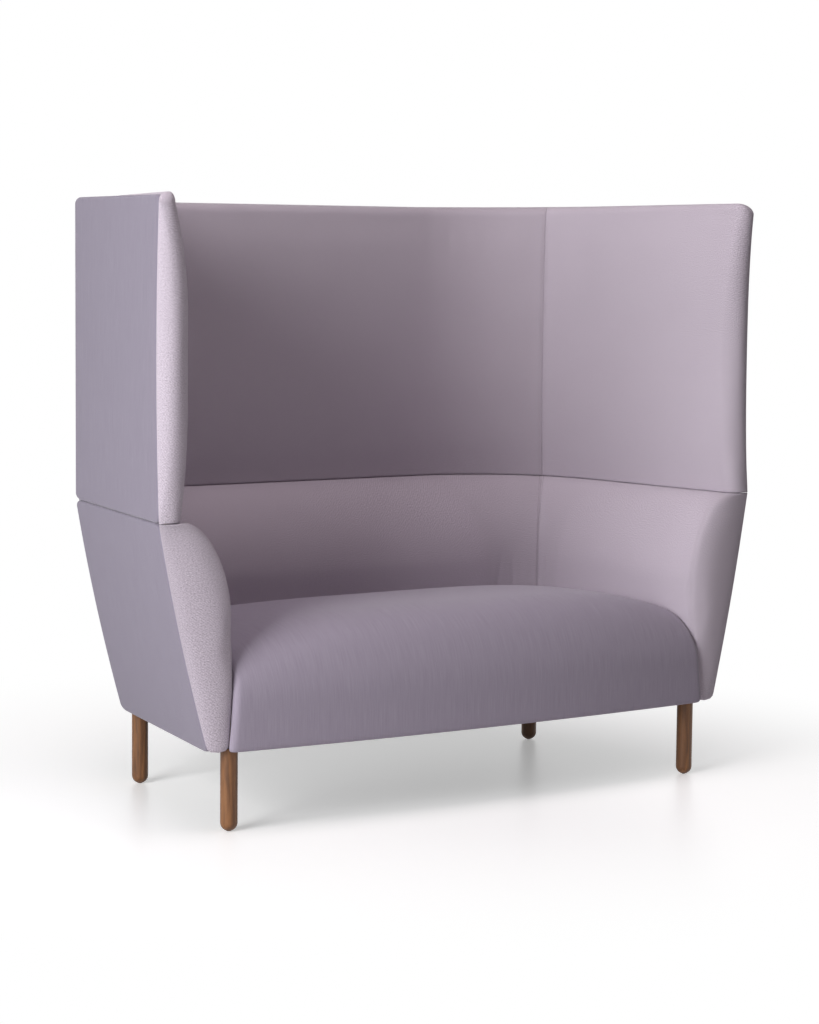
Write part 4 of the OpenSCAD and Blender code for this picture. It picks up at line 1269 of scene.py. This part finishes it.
def one_staple():
    """Wire staple: its crown, with its two legs turned up."""
    staple = started(bpy.ops.mesh.primitive_cube_add, size=1, scale=(STAPLE_W, STAPLE_WIRE, STAPLE_WIRE))
    for side in (-1, 1):
        cut((side * (STAPLE_W / 2 - STAPLE_WIRE), 0, 0), (1, 0, 0))
    pick("faces", lambda place: place.z > STAPLE_WIRE / 4 and abs(place.x) > STAPLE_W / 2 - STAPLE_WIRE)
    pull_up(STAPLE_WIRE)
    pick("edges", lambda place: place.z < SOFT_GAP - STAPLE_WIRE / 2 and abs(place.y) > STAPLE_WIRE / 4)
    bpy.ops.mesh.bevel(offset=STAPLE_WIRE / 4, segments=2, affect="EDGES")
    bpy.ops.object.mode_set(mode="OBJECT")
    bpy.ops.object.transform_apply(location=True, rotation=True, scale=True)
    return staple


def make_staples():
    """Staples round the edge of the dust cover, their crowns on its face."""
    low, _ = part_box("dust_cover")
    inset = BOARD_OUT + draw_in(low.z) + STAPLE_IN
    front = low.y + STAPLE_IN
    level = low.z - STAPLE_WIRE / 2
    path = [Vector((0, front, level)), Vector((side_x_at(front, inset), front, level))]
    path += [shell_spot(u, inset, level) for u in steps(1, 2, STAPLE_CORNER_STEPS) + [3]]
    first = one_staple()
    copies = []
    for side in (1, -1):
        for place, way in even_places(path, STAPLE_PITCH):
            turn = Matrix.Rotation(math.atan2(way.y, way.x * side), 4, "Z")
            move = Matrix.Translation((place.x * side, place.y, place.z))
            copies.append(copied(first, "staple", move @ turn))
    bpy.data.objects.remove(first)
    fit_out(joined(copies, "dust_cover_staples"), "steel")


# Stitches
STITCH_PITCH = 0.0042
STITCH_LENGTH = 0.0034
STITCH_R = 0.0006
STITCH_SINK = 0.0009
STITCH_THIN = 0.6
STITCH_SIDES = 6
STITCH_SMOOTH = math.radians(60)


def one_stitch():
    """Thread of one stitch, along Z, drawn down where it enters the cloth at its two ends."""
    stitch = started(bpy.ops.mesh.primitive_cylinder_add, vertices=STITCH_SIDES, radius=STITCH_R,
                     depth=STITCH_LENGTH)
    cut((0, 0, 0), (0, 0, 1))
    for side in (-1, 1):
        end_z = side * STITCH_LENGTH / 2
        pick("verts", lambda place: abs(place.z - end_z) < SOFT_GAP)
        bpy.ops.transform.resize(value=(STITCH_THIN, STITCH_THIN, 1), center_override=(0, 0, end_z))
        bpy.ops.transform.translate(value=(0, STITCH_SINK, 0))
    bpy.ops.object.mode_set(mode="OBJECT")
    bpy.ops.object.shade_smooth_by_angle(angle=STITCH_SMOOTH)
    return stitch


def screen_seam_line(u, dip):
    crest = crest_at(u)
    return [screen_spot(u, screen_thickness(z, crest, 0.0) - dip, z)
            for z in steps(SCREEN_FOOT + FOOT_R, crest - HEAD_R, FACE_STEPS)]


def lower_seam_line(u, dip):
    return [lower_spot(u, z, swell, dip) for z, swell in swell_levels(SEAT_EDGE_Z)[:-1]]


def make_stitches():
    """Two rows of stitches beside each seam of the pads."""
    first = one_stitch()
    dip = seam_dip(STITCH_OFFSET)
    for name, line in (("screen", screen_seam_line), ("lower", lower_seam_line)):
        copies = []
        for across in (-STITCH_OFFSET, STITCH_OFFSET):
            u = SEAM_U + across / SEAM_ARC
            surface = even_places(line(u, dip), STITCH_PITCH)
            beneath = even_places(line(u, dip + SOFT_GAP), STITCH_PITCH)
            for (place, up), (under, _) in zip(surface, beneath):
                out = place - under
                out = (out - up * out.dot(up)).normalized()
                turn = Matrix((up.cross(out), -out, up)).transposed().to_4x4()
                copies.append(copied(first, "stitch", Matrix.Translation(place) @ turn))
        right = joined(copies, name + "_seam_stitches_right")
        for piece in (right, mirrored(right, name + "_seam_stitches_left")):
            fit_out(piece, "pad_fabric", finish="pad_thread")
    bpy.data.objects.remove(first)


def make_covers():
    """Every cover is filled with its foam, smoothed and dressed over its plain pads."""
    fronts = (("wing", wing_rings, SCREEN_FOOT, CREST_Z), ("arm", arm_rings, SKIRT_Z, LOWER_TOP))
    for name, rings, foot, head in fronts:
        cover = sew(name + "_cover_right", gripped(rings(), foot, head))
        make_pair(cover, PAD_SWELL, "pad_fabric", name + "_pad_")
    backs = (("screen_back", screen_ring, WING_ROLL_DEPTH), ("lower_back", lower_ring, ARM_ROLL_DEPTH))
    for name, one_ring, roll_depth in backs:
        back = filled_cover(back_cover(name + "_cover", one_ring, roll_depth), PAD_SWELL)
        # The backs take the darker copy of the pad cloth, which is painted shade.
        dress(back, "pad_fabric", name + "_pad", finish="pad_fabric_back")
    # The seat takes the lighter copy of the ribbed cloth, which is painted light.
    dress(filled_cover(seat_cover(), SEAT_SWELL), "seat_fabric", "seat_cushion")
    storeys = (("screen", SCREEN_FOOT, SCREEN_TOP, BACK_TOP, FRONT_BOW),
               ("lower", SKIRT_Z, LOWER_TOP, LOWER_TOP, 0.0))
    for storey, foot, side_top, back_top, bow in storeys:
        side = side_panel_cover(storey + "_side_cover_right", foot, side_top, bow)
        make_pair(side, PANEL_SWELL, "panel_fabric", storey + "_side_panel_")
        back = back_panel_cover(storey + "_back_outer_cover", foot, back_top, BACK_LEVELS[storey])
        dress(filled_cover(back, PANEL_SWELL), "panel_fabric", storey + "_back_panel")


def make_pair(cover, swell, slot, node):
    """Fills and dresses a right-hand cover, and its left-hand copy."""
    right = filled_cover(cover, swell)
    left = mirrored(right, right.name.replace("right", "left"))
    dress(right, slot, node + "right")
    dress(left, slot, node + "left")


def finish_frame():
    """The solids that stay in view, or would if the covers came off, get their finishes."""
    for part in frame["record"]["subparts"]:
        node = frame["nodes"][part["node"]]
        if part["material_slot"] in finishes:
            node.data.materials.clear()
            node.data.materials.append(finishes[part["material_slot"]])


make_covers()
make_stitches()
make_legs()
make_staples()
finish_frame()

# Camera at the photograph's place
CAMERA_PLACE = Vector((-3.36, -5.325, 1.268))
CAMERA_YAW = 0.573
CAMERA_PITCH = 0.101
CAMERA_ROLL = 0.0102
CAMERA_LENS = 93.29
CAMERA_SENSOR = 36


def set_camera():
    data = bpy.data.cameras.new("camera")
    data.lens = CAMERA_LENS
    data.sensor_width = CAMERA_SENSOR
    view = in_scene("camera", data)
    level = math.cos(CAMERA_PITCH)
    forward = Vector((math.sin(CAMERA_YAW) * level, math.cos(CAMERA_YAW) * level, -math.sin(CAMERA_PITCH)))
    right = Vector((math.cos(CAMERA_YAW), -math.sin(CAMERA_YAW), 0))
    up = right.cross(forward)
    tilted = right * math.cos(CAMERA_ROLL) + up * math.sin(CAMERA_ROLL)
    turn = Matrix((tilted, tilted.cross(forward), -forward)).transposed()
    view.matrix_world = Matrix.Translation(CAMERA_PLACE) @ turn.to_4x4()
    bpy.context.scene.camera = view


# Studio: a pale floor that keeps the shadow, white all round, a large soft light and one overhead
FLOOR_SIZE = 40.0
FLOOR_TONE = (0.90, 0.90, 0.90, 1.0)
FLOOR_LIFT = 0.335
FLOOR_FADE = (0.5, 1.7)
WORLD_LIGHT = 0.03
LIGHT_TARGET = Vector((0.0, 0.0, 0.75))
# Place, size, colour and power of each light
LIGHTS = {
    "key": ((-4.50, -1.72, 2.10), 2.4, (1.0, 1.0, 1.0), 205.0),
    "overhead": ((-0.27, -0.73, 5.18), 3.0, (1.0, 0.91, 0.93), 98.0),
}


def seen_directly(nodes):
    """1 for what the camera sees, also in a gloss or through glass."""
    names = ("Is Camera Ray", "Is Glossy Ray", "Is Transmission Ray")
    rays = [nodes.node("LightPath", {}, {}, name) for name in names]
    return rays[0].over(rays[1]).over(rays[2])


def set_floor():
    """Pale floor: lit like paper, lifted to white where the camera sees it out of the shadow."""
    bpy.ops.object.select_all(action="DESELECT")
    bpy.ops.mesh.primitive_plane_add(size=FLOOR_SIZE)
    floor = bpy.context.object
    floor.name = "studio_floor"
    paper = Finish("studio_floor", {"Base Color": FLOOR_TONE, "Roughness": 0.35, "Specular IOR Level": 0.3,
                                    "Emission Color": WHITE, "Emission Strength": FLOOR_LIFT})
    plain = paper.node("BsdfDiffuse", {}, {"Color": FLOOR_TONE})
    white = paper.node("Emission", {}, {"Color": WHITE, "Strength": 1.0})
    x, y, _ = paper.axes
    far = paper.node("MapRange", {"interpolation_type": "SMOOTHSTEP"},
                     {0: (x * x + y * y).root(), 1: FLOOR_FADE[0], 2: FLOOR_FADE[1], 3: 0.0, 4: 1.0})
    lit = Value(paper, paper.shader.outputs[0])
    near_or_far = paper.node("MixShader", {}, {0: far, 1: lit, 2: white})
    seen = paper.node("MixShader", {}, {0: seen_directly(paper), 1: plain, 2: near_or_far})
    paper.fill(paper.tree.nodes["Material Output"].inputs["Surface"], seen)
    floor.data.materials.append(finishes["studio_floor"])


def set_world():
    """White where the camera sees past the floor, and a weak light from all round."""
    world = bpy.data.worlds.new("studio")
    bpy.context.scene.world = world
    world.use_nodes = True
    sky = Nodes(world.node_tree)
    light = sky.node("Background", {}, {"Color": WHITE, "Strength": WORLD_LIGHT})
    white = sky.node("Background", {}, {"Color": WHITE, "Strength": 1.0})
    both = sky.node("MixShader", {}, {0: seen_directly(sky), 1: light, 2: white})
    sky.fill(sky.tree.nodes["World Output"].inputs["Surface"], both)


def set_lights():
    for name, (place, size, colour, power) in LIGHTS.items():
        data = bpy.data.lights.new(name, "AREA")
        data.color = colour
        data.size = size
        data.energy = power
        lamp = in_scene(name, data)
        lamp.location = place
        lamp.rotation_euler = (LIGHT_TARGET - Vector(place)).to_track_quat("-Z", "Y").to_euler()


set_camera()
set_floor()
set_world()
set_lights()
bpy.context.scene.view_settings.view_transform = "Standard"
